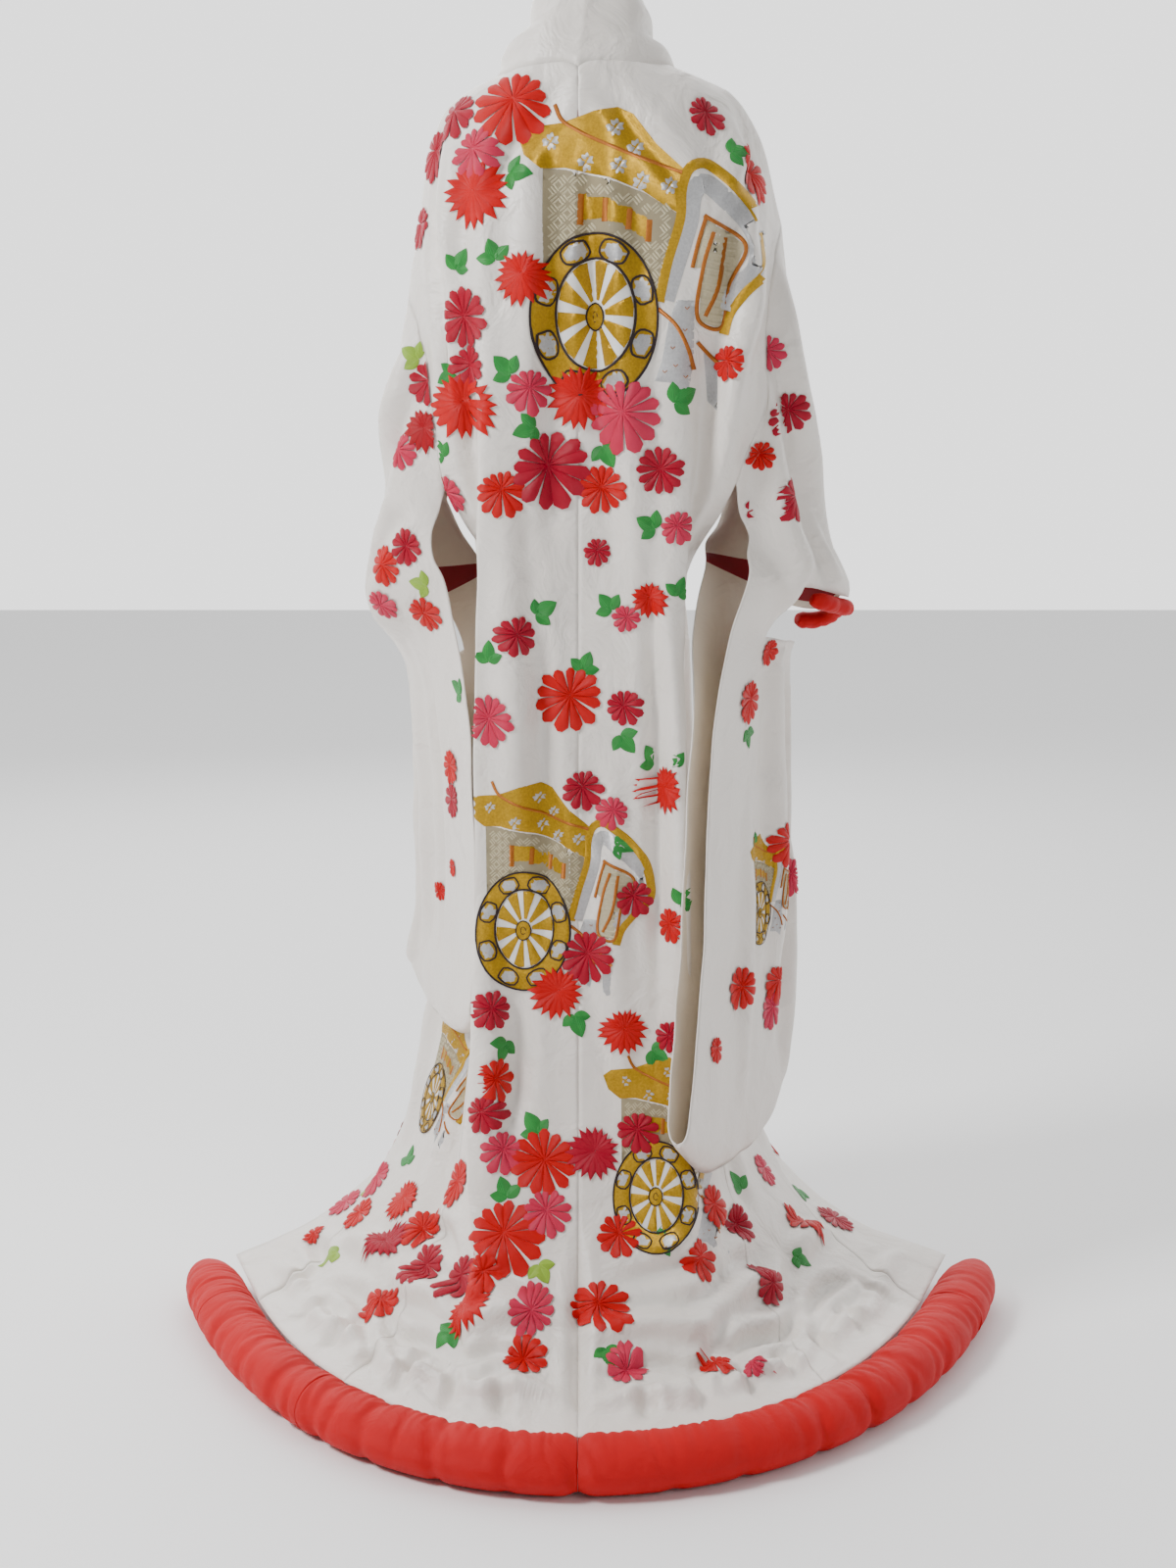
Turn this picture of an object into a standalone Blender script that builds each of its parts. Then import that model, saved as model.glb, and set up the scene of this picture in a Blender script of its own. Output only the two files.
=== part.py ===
"""An uchikake wedding kimono as it is worn: open in front, sleeves down, train spread on the floor.

The wearer faces -Y and the train lies towards +Y. The origin is at the nape, where the neck and
shoulders carry the garment. Every cloth piece is a wall laid on one surface that all the pieces
share, so the seams meet face to face with a small gap.
"""
import math

import bpy
from mathutils import Vector

# Driving sizes, in metres. The tables give heights above the floor.
NECK_HEIGHT = 1.38
WALL = 0.0025
SEAM_GAP = 0.0003
# Pieces that meet their neighbour at an angle keep a little more.
SLANTED_INSET = 0.0009
SLANTED = ("collar", "sleeve_left", "sleeve_right")
# Two rim edges whose directions agree less than this make a corner.
CORNER_COSINE = 0.7
SIDES = {"left": 1.0, "right": -1.0}

# The hem lies on the floor as a half ellipse. An arc on it is measured from the centre back.
HEM_CENTRE_Y = -0.12
HEM_DEPTH = 0.613
HEM_HALF_WIDTH = {"left": 0.458, "right": 0.485}
HEM_TIP_ANGLE = math.radians(81.0)
TIP_FLARE = 0.026
HEM_SEAM_HEIGHT = 0.037
ROLL_WIDTH = 0.07
ROLL_HEIGHT = 0.055
ROLL_SIDES = 10
ROLL_CLEARANCE = 0.0012
TIP_TAPER = 0.22

CUFF_ROLL_WIDTH = 0.019
CUFF_ROLL_SIDES = 8
CUFF_ROLL_CLEARANCE = 0.004
CUFF_FRONT_DROP = 0.035

STEPS_ALONG = 2
STEPS_ACROSS = (2, 2, 1, 2)
SLEEVE_COLUMNS = 20
SLEEVE_STEPS = (2, 2, 2, 2, 2, 2, 1, 1, 1, 1)
# Columns the cuff opening takes out of the sleeve, and those its roll follows. The left cuff faces front.
OPENING_COLUMNS = {"left": (8, 17), "right": (3, 15)}
CUFF_ROLL_COLUMNS = {"left": (11, 16), "right": (4, 14)}
CUFF_ROLL_END = 0.55
OKUMI_COLUMNS = 2
COLLAR_COLUMNS = 2
# Key rows from the shoulder to the nape, to the foot of the armhole, to the top of the side seam.
NAPE_ROWS = 2
ARMHOLE_ROWS = 5
SLIT_ROWS = 6

# Where each lengthwise line of the cloth meets the hem, as an arc from the centre back.
HEM_ARC = {
    "centre": 0.00, "column": 0.12, "root": 0.19, "drape": 0.26, "side": 0.33,
    "front_drape": 0.40, "front_middle": 0.47, "front_inner": 0.54, "okumi_seam": 0.60, "edge": 0.76,
}

# Back, neck to armhole end. Columns, each (outwards, back, height):
# centre, column edge, pleat root, drape over the arm, side.
BACK_TOP = {
    "left": (
        ((0.088, 0.020, 1.372), (0.118, 0.016, 1.358), (0.142, 0.010, 1.338),
         (0.163, 0.004, 1.280), (0.184, 0.000, 1.150)),
        ((0.055, 0.074, 1.380), (0.108, 0.062, 1.350), (0.138, 0.046, 1.315),
         (0.160, 0.030, 1.250), (0.181, 0.024, 1.142)),
        ((0.000, 0.090, 1.377), (0.092, 0.094, 1.318), (0.130, 0.080, 1.272),
         (0.156, 0.058, 1.205), (0.173, 0.045, 1.125)),
        ((0.000, 0.115, 1.270), (0.092, 0.118, 1.215), (0.124, 0.098, 1.180),
         (0.146, 0.090, 1.140), (0.163, 0.062, 1.085)),
        ((0.000, 0.122, 1.130), (0.097, 0.125, 1.090), (0.116, 0.096, 1.060),
         (0.136, 0.096, 1.040), (0.152, 0.076, 1.020)),
        ((0.000, 0.118, 1.000), (0.101, 0.124, 0.975), (0.104, 0.090, 0.955),
         (0.122, 0.088, 0.950), (0.142, 0.072, 0.950)),
    ),
    "right": (
        ((0.103, 0.020, 1.379), (0.132, 0.016, 1.370), (0.160, 0.012, 1.358),
         (0.190, 0.004, 1.318), (0.215, 0.000, 1.225)),
        ((0.060, 0.076, 1.382), (0.118, 0.066, 1.360), (0.152, 0.052, 1.336),
         (0.184, 0.034, 1.292), (0.211, 0.026, 1.215)),
        ((0.000, 0.090, 1.377), (0.100, 0.097, 1.330), (0.145, 0.090, 1.298),
         (0.180, 0.074, 1.250), (0.204, 0.052, 1.185)),
        ((0.000, 0.115, 1.270), (0.104, 0.124, 1.225), (0.140, 0.122, 1.200),
         (0.176, 0.106, 1.165), (0.198, 0.076, 1.115)),
        ((0.000, 0.122, 1.130), (0.108, 0.128, 1.090), (0.130, 0.108, 1.070),
         (0.165, 0.122, 1.050), (0.192, 0.094, 1.030)),
        ((0.000, 0.118, 1.000), (0.112, 0.126, 0.975), (0.124, 0.098, 0.965),
         (0.145, 0.112, 0.960), (0.166, 0.098, 0.955)),
    ),
}

# Front, neck to armhole end. Columns: inner edge, inner front, middle, drape over the arm, side.
FRONT_TOP = {
    "left": (
        ((0.088, -0.035, 1.348), (0.112, -0.038, 1.336), (0.138, -0.038, 1.308),
         (0.160, -0.030, 1.250), (0.181, -0.024, 1.142)),
        ((0.082, -0.078, 1.285), (0.104, -0.080, 1.275), (0.128, -0.076, 1.252),
         (0.153, -0.060, 1.205), (0.173, -0.045, 1.125)),
        ((0.082, -0.106, 1.190), (0.100, -0.106, 1.180), (0.122, -0.100, 1.165),
         (0.145, -0.082, 1.130), (0.163, -0.062, 1.085)),
        ((0.088, -0.122, 1.080), (0.102, -0.120, 1.070), (0.118, -0.110, 1.060),
         (0.136, -0.092, 1.040), (0.152, -0.074, 1.020)),
        ((0.094, -0.132, 0.960), (0.108, -0.124, 0.960), (0.120, -0.110, 0.955),
         (0.130, -0.090, 0.950), (0.142, -0.070, 0.950)),
    ),
    "right": (
        ((0.100, -0.035, 1.352), (0.130, -0.040, 1.342), (0.158, -0.040, 1.322),
         (0.186, -0.030, 1.280), (0.211, -0.026, 1.215)),
        ((0.090, -0.078, 1.285), (0.116, -0.082, 1.280), (0.146, -0.080, 1.262),
         (0.176, -0.066, 1.230), (0.204, -0.052, 1.185)),
        ((0.086, -0.106, 1.190), (0.108, -0.108, 1.185), (0.136, -0.105, 1.170),
         (0.165, -0.092, 1.140), (0.192, -0.072, 1.110)),
        ((0.088, -0.122, 1.080), (0.105, -0.122, 1.075), (0.126, -0.118, 1.060),
         (0.150, -0.104, 1.040), (0.172, -0.085, 1.020)),
        ((0.094, -0.132, 0.960), (0.108, -0.126, 0.960), (0.120, -0.114, 0.955),
         (0.134, -0.096, 0.955), (0.150, -0.080, 0.955)),
    ),
}

# The standing skirt, a row for each section. Columns: height, centre back y, then (outwards, back)
# of column edge, pleat root, drape, side, front drape, front middle, front inner, okumi seam, edge.
SKIRT = (
    (0.83, 0.118, (0.107, 0.122), (0.072, 0.090), (0.070, 0.058), (0.082, 0.008),
     (0.098, -0.045), (0.108, -0.090), (0.106, -0.122), (0.098, -0.140), (0.080, -0.155)),
    (0.72, 0.121, (0.109, 0.124), (0.069, 0.088), (0.066, 0.056), (0.078, 0.001),
     (0.096, -0.047), (0.108, -0.092), (0.109, -0.125), (0.103, -0.146), (0.078, -0.169)),
    (0.60, 0.127, (0.111, 0.126), (0.069, 0.090), (0.068, 0.057), (0.080, 0.000),
     (0.098, -0.046), (0.112, -0.092), (0.116, -0.130), (0.113, -0.154), (0.081, -0.183)),
    (0.48, 0.137, (0.113, 0.132), (0.072, 0.096), (0.071, 0.060), (0.084, 0.002),
     (0.106, -0.044), (0.122, -0.090), (0.130, -0.133), (0.130, -0.161), (0.094, -0.195)),
    (0.38, 0.150, (0.116, 0.142), (0.080, 0.105), (0.080, 0.068), (0.093, 0.008),
     (0.118, -0.036), (0.136, -0.085), (0.150, -0.133), (0.154, -0.165), (0.118, -0.205)),
    (0.30, 0.166, (0.119, 0.154), (0.100, 0.120), (0.105, 0.084), (0.115, 0.022),
     (0.134, -0.022), (0.158, -0.075), (0.176, -0.128), (0.184, -0.165), (0.150, -0.212)),
)

# The right side stands fuller under its sleeve: how much, and each column's share of it.
SIDE_FULLNESS = {"left": 0.0, "right": 0.034}
SIDE_SHARE = (0.12, 0.70, 1.00, 0.90, 0.55, 0.25, 0.10, 0.00, 0.00)

# The train: share of the way from the last standing row to the hem seam, and height.
TRAIN = ((0.18, 0.172), (0.42, 0.096), (0.70, 0.054), (1.00, HEM_SEAM_HEIGHT))

# The okumi edge where the collar still lies on it, (outwards, back, height), below its top point.
OKUMI_EDGE_TOP = (0.086, -0.137, 0.960)

# The collar's free edge, from its lower end on the okumi up to the nape.
COLLAR_EDGE = {
    "left": ((0.024, -0.212, 0.60), (0.020, -0.203, 0.72), (0.020, -0.190, 0.83), (0.024, -0.172, 0.96),
             (0.026, -0.152, 1.085), (0.024, -0.130, 1.20), (0.028, -0.094, 1.32), (0.042, -0.048, 1.405),
             (0.046, 0.008, 1.445), (0.032, 0.044, 1.474), (-0.012, 0.056, 1.487)),
    "right": ((0.024, -0.212, 0.60), (0.020, -0.203, 0.72), (0.020, -0.190, 0.83), (0.024, -0.172, 0.96),
              (0.026, -0.152, 1.085), (0.026, -0.130, 1.20), (0.034, -0.094, 1.32), (0.056, -0.048, 1.405),
              (0.066, 0.008, 1.445), (0.052, 0.044, 1.474), (0.012, 0.056, 1.487)),
}

# Sleeves below the armhole seam. Columns: middle of the open inner side (outwards, back, height),
# outer fold (outwards, back, height), distance between the two layers.
SLEEVE = {
    "left": (
        ((0.149, 0.001, 0.925), (0.194, 0.001, 1.080), 0.139),
        ((0.146, 0.007, 0.900), (0.200, -0.003, 1.010), 0.126),
        ((0.136, 0.021, 0.875), (0.207, -0.009, 0.935), 0.104),
        ((0.125, 0.036, 0.852), (0.230, -0.027, 0.825), 0.080),
        ((0.113, 0.057, 0.790), (0.192, -0.105, 0.730), 0.046),
        ((0.106, 0.072, 0.690), (0.193, -0.145, 0.620), 0.026),
        ((0.104, 0.077, 0.580), (0.192, -0.168, 0.520), 0.024),
        ((0.104, 0.079, 0.470), (0.192, -0.178, 0.430), 0.022),
        ((0.107, 0.080, 0.385), (0.204, -0.178, 0.375), 0.022),
    ),
    "right": (
        ((0.168, 0.010, 0.925), (0.226, 0.008, 1.120), 0.166),
        ((0.169, 0.020, 0.900), (0.243, 0.006, 1.000), 0.136),
        ((0.160, 0.038, 0.880), (0.258, 0.002, 0.920), 0.112),
        ((0.159, 0.064, 0.862), (0.288, -0.012, 0.825), 0.086),
        ((0.142, 0.104, 0.800), (0.236, -0.045, 0.770), 0.046),
        ((0.132, 0.140, 0.710), (0.236, -0.055, 0.690), 0.030),
        ((0.125, 0.153, 0.600), (0.238, -0.060, 0.570), 0.028),
        ((0.120, 0.172, 0.460), (0.240, -0.053, 0.450), 0.026),
        ((0.106, 0.222, 0.300), (0.242, -0.035, 0.300), 0.022),
    ),
}
CUFF_ROW = 4
# The sleeve's bottom seam: inner end, outer end (outwards, back), height, corner height.
SLEEVE_BOTTOM = {
    "left": ((0.113, 0.078), (0.204, -0.168), 0.325, 0.040),
    "right": ((0.104, 0.234), (0.241, -0.022), 0.212, 0.062),
}
BOTTOM_STEPS = ((0.45, 0.90), (0.80, 0.62), (1.00, 0.00))

# Colours (linear), roughness.
FINISHES = {
    "satin": ((0.84, 0.80, 0.75, 1.0), 0.35),
    "red_silk": ((0.62, 0.004, 0.012, 1.0), 0.6),
}


def clear_scene():
    for item in list(bpy.data.objects):
        bpy.data.objects.remove(item)


def finish(name):
    colour, roughness = FINISHES[name]
    material = bpy.data.materials.get(name) or bpy.data.materials.new(name)
    material.use_nodes = True
    shader = material.node_tree.nodes["Principled BSDF"]
    shader.inputs["Base Color"].default_value = colour
    shader.inputs["Roughness"].default_value = roughness
    return material


def skirt_point(side, column, pair, height):
    """A point of the standing skirt, with the side's own fullness under the sleeve."""
    return place(side, (pair[0] + SIDE_FULLNESS[side] * SIDE_SHARE[column], pair[1], height))


def place(side, point):
    """A table point (outwards, back, height) in the part's frame."""
    return Vector((SIDES[side] * point[0], point[1], point[2] - NECK_HEIGHT))


def spline_point(before, start, end, after, share):
    """Centripetal Catmull-Rom between start and end."""
    knots = [0.0]
    for a, b in ((before, start), (start, end), (end, after)):
        knots.append(knots[-1] + max((b - a).length, 1e-6) ** 0.5)
    t = knots[1] + share * (knots[2] - knots[1])

    def blend(a, b, low, high):
        return a.lerp(b, (t - low) / (high - low))

    first = blend(before, start, knots[0], knots[1])
    second = blend(start, end, knots[1], knots[2])
    third = blend(end, after, knots[2], knots[3])
    left = blend(first, second, knots[0], knots[2])
    right = blend(second, third, knots[1], knots[3])
    return blend(left, right, knots[1], knots[2])


def refine(keys, steps):
    """Points on a smooth curve through the keys, steps[i] of them for interval i."""
    if isinstance(steps, int):
        steps = (steps,) * (len(keys) - 1)
    points = []
    for i, count in enumerate(steps):
        before = keys[i - 1] if i else keys[0] * 2 - keys[1]
        after = keys[i + 2] if i + 2 < len(keys) else keys[-1] * 2 - keys[-2]
        for step in range(count):
            points.append(spline_point(before, keys[i], keys[i + 1], after, step / count))
    points.append(keys[-1].copy())
    return points


def refine_columns(rows, steps):
    """Refine a grid along its columns."""
    columns = [refine(list(column), steps) for column in zip(*rows)]
    return [list(row) for row in zip(*columns)]


def hem_table(side, inset):
    """Arc length against angle on the hem's ellipse, moved in by inset."""
    width = HEM_HALF_WIDTH[side]
    table = []
    arc = 0.0
    last = None
    for i in range(161):
        angle = HEM_TIP_ANGLE * i / 160
        flare = TIP_FLARE * (i / 160) ** 6
        outer = Vector((width * math.sin(angle) + flare, HEM_CENTRE_Y + HEM_DEPTH * math.cos(angle)))
        inner = Vector(((width - inset) * math.sin(angle) + flare,
                        HEM_CENTRE_Y + (HEM_DEPTH - inset) * math.cos(angle)))
        arc += (outer - last).length if last else 0.0
        table.append((arc, inner))
        last = outer
    return table


def hem_point(side, arc, inset):
    """A plan point of the hem, arc metres from the centre back along the outer edge of the roll."""
    table = hem_table(side, inset)
    arc = arc * table[-1][0] / HEM_ARC["edge"]
    for (low, a), (high, b) in zip(table, table[1:]):
        if arc <= high:
            return a.lerp(b, (arc - low) / (high - low))
    return table[-1][1]


def train_rows(side, standing, names):
    """Rows from a standing row out to the hem seam."""
    ends = [hem_point(side, HEM_ARC[name], ROLL_WIDTH + ROLL_CLEARANCE) for name in names]
    rows = []
    for share, height in TRAIN:
        row = []
        for start, end in zip(standing, ends):
            goal = Vector((SIDES[side] * end.x, end.y, 0.0))
            point = start.lerp(goal, share)
            point.z = height - NECK_HEIGHT
            row.append(point)
        rows.append(row)
    return rows


def body_grid(side):
    """One body length, from the back hem over the shoulder to the front hem, and its key rows."""
    back = [[place(side, p) for p in row] for row in BACK_TOP[side]]
    front = [[place(side, p) for p in row] for row in FRONT_TOP[side]]
    for height, centre, *pairs in SKIRT:
        points = [skirt_point(side, i, pair, height) for i, pair in enumerate(pairs)]
        back.append([place(side, (0.0, centre, height))] + points[:4])
        front.append([points[7], points[6], points[5], points[4], points[3]])
    back += train_rows(side, back[-1], ("centre", "column", "root", "drape", "side"))
    front += train_rows(side, front[-1], ("okumi_seam", "front_inner", "front_middle", "front_drape", "side"))
    keys = back[::-1] + front
    across = [refine(row, STEPS_ACROSS) for row in keys]
    grid = refine_columns(across, STEPS_ALONG)
    crest = len(back) - 1
    for i in range((crest - SLIT_ROWS) * STEPS_ALONG + 1):
        grid[-1 - i][-1] = grid[i][-1].copy()
    return grid, crest


def edge_keys(side):
    """The front edge of the okumi, from its top point to the tip of the hem."""
    keys = [place(side, FRONT_TOP[side][3][0]), place(side, OKUMI_EDGE_TOP)]
    for row in SKIRT:
        keys.append(place(side, (row[-1][0], row[-1][1], row[0])))
    keys += [row[0] for row in train_rows(side, [keys[-1]], ("edge",))]
    return keys


def okumi_grid(side, body, crest):
    """The overlap panel, whose first column is the body's inner edge."""
    start = (crest + 4) * STEPS_ALONG
    inner = [row[0] for row in body[start:]]
    outer = refine(edge_keys(side), STEPS_ALONG)
    rows = []
    for a, b in zip(inner, outer):
        rows.append([a.lerp(b, i / OKUMI_COLUMNS) for i in range(OKUMI_COLUMNS + 1)])
    return rows


def collar_grid(bodies, crest, okumis):
    """The collar band, from the left okumi round the nape to the right okumi."""
    grid = []
    for side in ("left", "right"):
        start = (crest + 4) * STEPS_ALONG
        nape = (crest - NAPE_ROWS) * STEPS_ALONG
        end = (crest + 8) * STEPS_ALONG
        seam = [row[0] for row in bodies[side][nape:start]]
        seam += [row[-1] for row in okumis[side][:end - start + 1]]
        free = refine([place(side, p) for p in COLLAR_EDGE[side]], STEPS_ALONG)[::-1]
        half = []
        for a, b in zip(seam, free):
            half.append([a.lerp(b, i / COLLAR_COLUMNS) for i in range(COLLAR_COLUMNS + 1)])
        grid = half[::-1] + grid if side == "left" else grid + half[1:]
    return grid


def sleeve_section(side, edge, fold, spread, drop=0.0):
    """A U from the back layer round the outer fold to the front layer, open on the inner side."""
    axis = Vector((fold[0] - edge[0], fold[1] - edge[1], 0.0)).normalized()
    out = Vector((-axis.y, axis.x, 0.0))
    points = []
    for i in range(SLEEVE_COLUMNS + 1):
        turn = math.pi * i / SLEEVE_COLUMNS
        along = math.sin(turn)
        level = math.copysign(abs(math.cos(turn)) ** 0.5, math.cos(turn))
        point = Vector(edge).lerp(Vector(fold), along) + out * (level * spread / 2)
        point.z -= drop * along * max(0.0, -math.cos(turn)) ** 0.5
        points.append(place(side, point))
    return points


def sleeve_bottom_rows(side, last):
    """Rows that round the bag's two bottom corners and close its bottom seam."""
    inner, outer, height, corner = SLEEVE_BOTTOM[side]
    last_edge, last_fold, last_spread = last
    rows = []
    for share, width in BOTTOM_STEPS:
        edge = Vector(last_edge).lerp(Vector((*inner, height)), share)
        fold = Vector(last_fold).lerp(Vector((*outer, height)), share)
        row = sleeve_section(side, edge, fold, last_spread * width)
        for i, point in enumerate(row):
            along = math.sin(math.pi * i / SLEEVE_COLUMNS)
            reach = abs(2.0 * along - 1.0) ** 3
            point.z += share * corner * reach
        rows.append(row)
    half = SLEEVE_COLUMNS // 2
    for i in range(half):
        rows[-1][SLEEVE_COLUMNS - i] = rows[-1][i].copy()
    return rows


def sleeve_grid(side, body, crest):
    """The sleeve, from the armhole seam down to the bottom seam."""
    first = (crest - ARMHOLE_ROWS) * STEPS_ALONG
    last = (crest + ARMHOLE_ROWS) * STEPS_ALONG
    armhole = [row[-1] for row in body[first:last + 1]]
    keys = [armhole]
    for number, (edge, fold, spread) in enumerate(SLEEVE[side], 1):
        drop = CUFF_FRONT_DROP if number == CUFF_ROW else 0.0
        keys.append(sleeve_section(side, edge, fold, spread, drop))
    rows = refine_columns(keys, SLEEVE_STEPS[:len(keys) - 1])
    return rows + sleeve_bottom_rows(side, SLEEVE[side][-1])


def sleeve_opening(side):
    """Rows and columns of the faces left out at the cuff."""
    top = sum(SLEEVE_STEPS[:CUFF_ROW])
    rows = range(top, top + SLEEVE_STEPS[CUFF_ROW])
    return {(row, column) for row in rows for column in range(*OPENING_COLUMNS[side])}


def key_of(point):
    return tuple(round(value, 6) for value in point)


def corner_key(corner):
    """What tells two corners apart: the place, and which of two edges sewn together it lies on."""
    point, edge = corner
    return key_of(point) + (edge,)


def grid_faces(grid, skip=(), sewn_back=None):
    """Faces of a grid as lists of (point, edge) corners, with coincident corners merged.

    Below row sewn_back the last column is sewn to the same column's upper part and kept apart.
    """
    faces = []
    last = len(grid[0]) - 1
    for r, (upper, lower) in enumerate(zip(grid, grid[1:])):
        for c in range(last):
            if (r, c) in skip:
                continue
            corners = []
            for row, column in ((r, c), (r, c + 1), (r + 1, c + 1), (r + 1, c)):
                apart = sewn_back is not None and column == last and row >= sewn_back
                corner = (grid[row][column], int(apart))
                if corner_key(corner) not in [corner_key(known) for known in corners]:
                    corners.append(corner)
            if len(corners) > 2:
                faces.append(corners)
    return faces


def face_normal(face):
    normal = Vector((0.0, 0.0, 0.0))
    for (a, _), (b, _) in zip(face, face[1:] + face[:1]):
        normal += a.cross(b)
    return normal


def face_middle(face):
    return sum((point for point, _ in face), Vector((0.0, 0.0, 0.0))) / len(face)


def shared_normals(panels):
    """One outward direction at every point, worked out over all the panels that meet there."""
    normals = {}
    for faces in panels.values():
        for face in faces:
            normal = face_normal(face).normalized()
            for point, _ in face:
                normals[key_of(point)] = normals.get(key_of(point), Vector((0, 0, 0))) + normal
    return {key: value.normalized() for key, value in normals.items()}


def rim_edges(faces):
    """The edges of a panel: pairs of corner keys that only one face uses."""
    uses = {}
    for face in faces:
        for a, b in zip(face, face[1:] + face[:1]):
            pair = frozenset((corner_key(a), corner_key(b)))
            uses[pair] = uses.get(pair, 0) + 1
    return {pair for pair, count in uses.items() if count == 1}


def edge_shift(faces, rim, gap):
    """How each edge point of a panel moves in, so that two panels keep the seam gap."""
    edges = {}
    for pair in rim:
        a, b = sorted(pair)
        direction = (Vector(b[:3]) - Vector(a[:3])).normalized()
        for key in (a, b):
            edges.setdefault(key, []).append(direction)
    inward = {}
    for face in faces:
        middle = face_middle(face)
        for corner in face:
            key = corner_key(corner)
            if key in edges:
                inward[key] = inward.get(key, Vector((0, 0, 0))) + (middle - corner[0]).normalized()
    shift = {}
    for key, direction in inward.items():
        first, last = edges[key][0], edges[key][-1]
        along = first + last if first.dot(last) >= 0 else first - last
        if abs(first.dot(last)) > CORNER_COSINE:
            direction = direction - along * (direction.dot(along) / along.length_squared)
        shift[key] = direction.normalized() * gap
    return shift


def cloth_shell(name, faces, normals, material):
    """A closed wall of cloth on a panel's faces."""
    rim = rim_edges(faces)
    shift = edge_shift(faces, rim, SLANTED_INSET if name in SLANTED else SEAM_GAP * 0.55)
    index = {}
    outer = []
    inner = []
    for face in faces:
        for corner in face:
            key = corner_key(corner)
            if key not in index:
                index[key] = len(index)
                moved = corner[0] + shift.get(key, Vector((0, 0, 0)))
                half_wall = normals[key_of(corner[0])] * (WALL / 2)
                outer.append(moved + half_wall)
                inner.append(moved - half_wall)
    count = len(outer)
    polygons = []
    for face in faces:
        ring = [index[corner_key(corner)] for corner in face]
        for i in range(1, len(ring) - 1):
            triangle = [ring[0], ring[i], ring[i + 1]]
            polygons.append(triangle)
            polygons.append([k + count for k in reversed(triangle)])
        for a, b in zip(face, face[1:] + face[:1]):
            if frozenset((corner_key(a), corner_key(b))) in rim:
                i = index[corner_key(a)]
                j = index[corner_key(b)]
                polygons.append([j, i, i + count, j + count])
    add_mesh(name, outer + inner, polygons, material)


def add_mesh(name, vertices, polygons, material):
    mesh = bpy.data.meshes.new(name)
    mesh.from_pydata([tuple(v) for v in vertices], [], polygons)
    mesh.materials.append(finish(material))
    mesh.shade_smooth()
    item = bpy.data.objects.new(name, mesh)
    bpy.context.scene.collection.objects.link(item)


def tube(name, rings, material):
    """A closed tube through rings of points that turn the same way."""
    sides = len(rings[0])
    vertices = [point for ring in rings for point in ring]
    polygons = [list(range(sides))[::-1]]
    for r in range(len(rings) - 1):
        for i in range(sides):
            j = (i + 1) % sides
            low = r * sides
            polygons.append([low + i, low + j, low + sides + j, low + sides + i])
    polygons.append([(len(rings) - 1) * sides + i for i in range(sides)])
    if tube_volume(vertices, polygons) < 0:
        polygons = [polygon[::-1] for polygon in polygons]
    add_mesh(name, vertices, polygons, material)


def tube_volume(vertices, polygons):
    total = 0.0
    for polygon in polygons:
        for i in range(1, len(polygon) - 1):
            a, b, c = (vertices[polygon[k]] for k in (0, i, i + 1))
            total += a.dot(b.cross(c))
    return total


def hem_roll(name, side, start, end, segments, tapered):
    """A padded roll under one panel's hem, from one arc to another."""
    rings = []
    gap = SEAM_GAP * 0.6
    for s in range(segments + 1):
        arc = start + gap + (end - start - 2 * gap) * s / segments
        outer = hem_point(side, arc, 0.0)
        inner = hem_point(side, arc, ROLL_WIDTH)
        share = s / segments
        size = 1.0 - (1.0 - TIP_TAPER) * share ** 4 if tapered else 1.0
        middle = (outer + inner) / 2
        across = (outer - inner) / 2
        ring = []
        for i in range(ROLL_SIDES):
            turn = 2 * math.pi * (i + 0.5) / ROLL_SIDES
            plan = middle + across * (math.cos(turn) * size)
            height = ROLL_HEIGHT / 2 * (1 + size * math.sin(turn) / math.sin(math.pi * 5 / ROLL_SIDES))
            ring.append(Vector((SIDES[side] * plan.x, plan.y, max(height, 0.0) - NECK_HEIGHT)))
        rings.append(ring)
    tube(name, rings, "red_silk")


def cuff_roll(side, grid):
    """A thin roll round the upper edge of the cuff opening."""
    row = sum(SLEEVE_STEPS[:CUFF_ROW])
    first, last = CUFF_ROLL_COLUMNS[side]
    radius = CUFF_ROLL_WIDTH / 2
    path = []
    for column in range(first, last + 1):
        edge = grid[row][column]
        down = (edge - grid[row - 1][column]).normalized()
        path.append(edge + down * (radius + CUFF_ROLL_CLEARANCE))
    rings = []
    across = (path[1] - path[0]).orthogonal()
    for i, centre in enumerate(path):
        ahead = (path[min(i + 1, len(path) - 1)] - path[max(i - 1, 0)]).normalized()
        across = (across - ahead * across.dot(ahead)).normalized()
        other = ahead.cross(across)
        size = radius * (CUFF_ROLL_END if i in (0, len(path) - 1) else 1.0)
        ring = []
        for k in range(CUFF_ROLL_SIDES):
            turn = 2 * math.pi * k / CUFF_ROLL_SIDES
            ring.append(centre + (across * math.cos(turn) + other * math.sin(turn)) * size)
        rings.append(ring)
    tube("cuff_roll_" + side, rings, "red_silk")


def sew_centre_back(bodies, crest):
    """Give both lengths the same centre seam, straight down the middle from the nape to the hem."""
    for i in range((crest - NAPE_ROWS) * STEPS_ALONG + 1):
        left = bodies["left"][i][0]
        right = bodies["right"][i][0]
        seam = (left + right) / 2
        seam.x = 0.0
        bodies["left"][i][0] = seam.copy()
        bodies["right"][i][0] = seam.copy()


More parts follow.
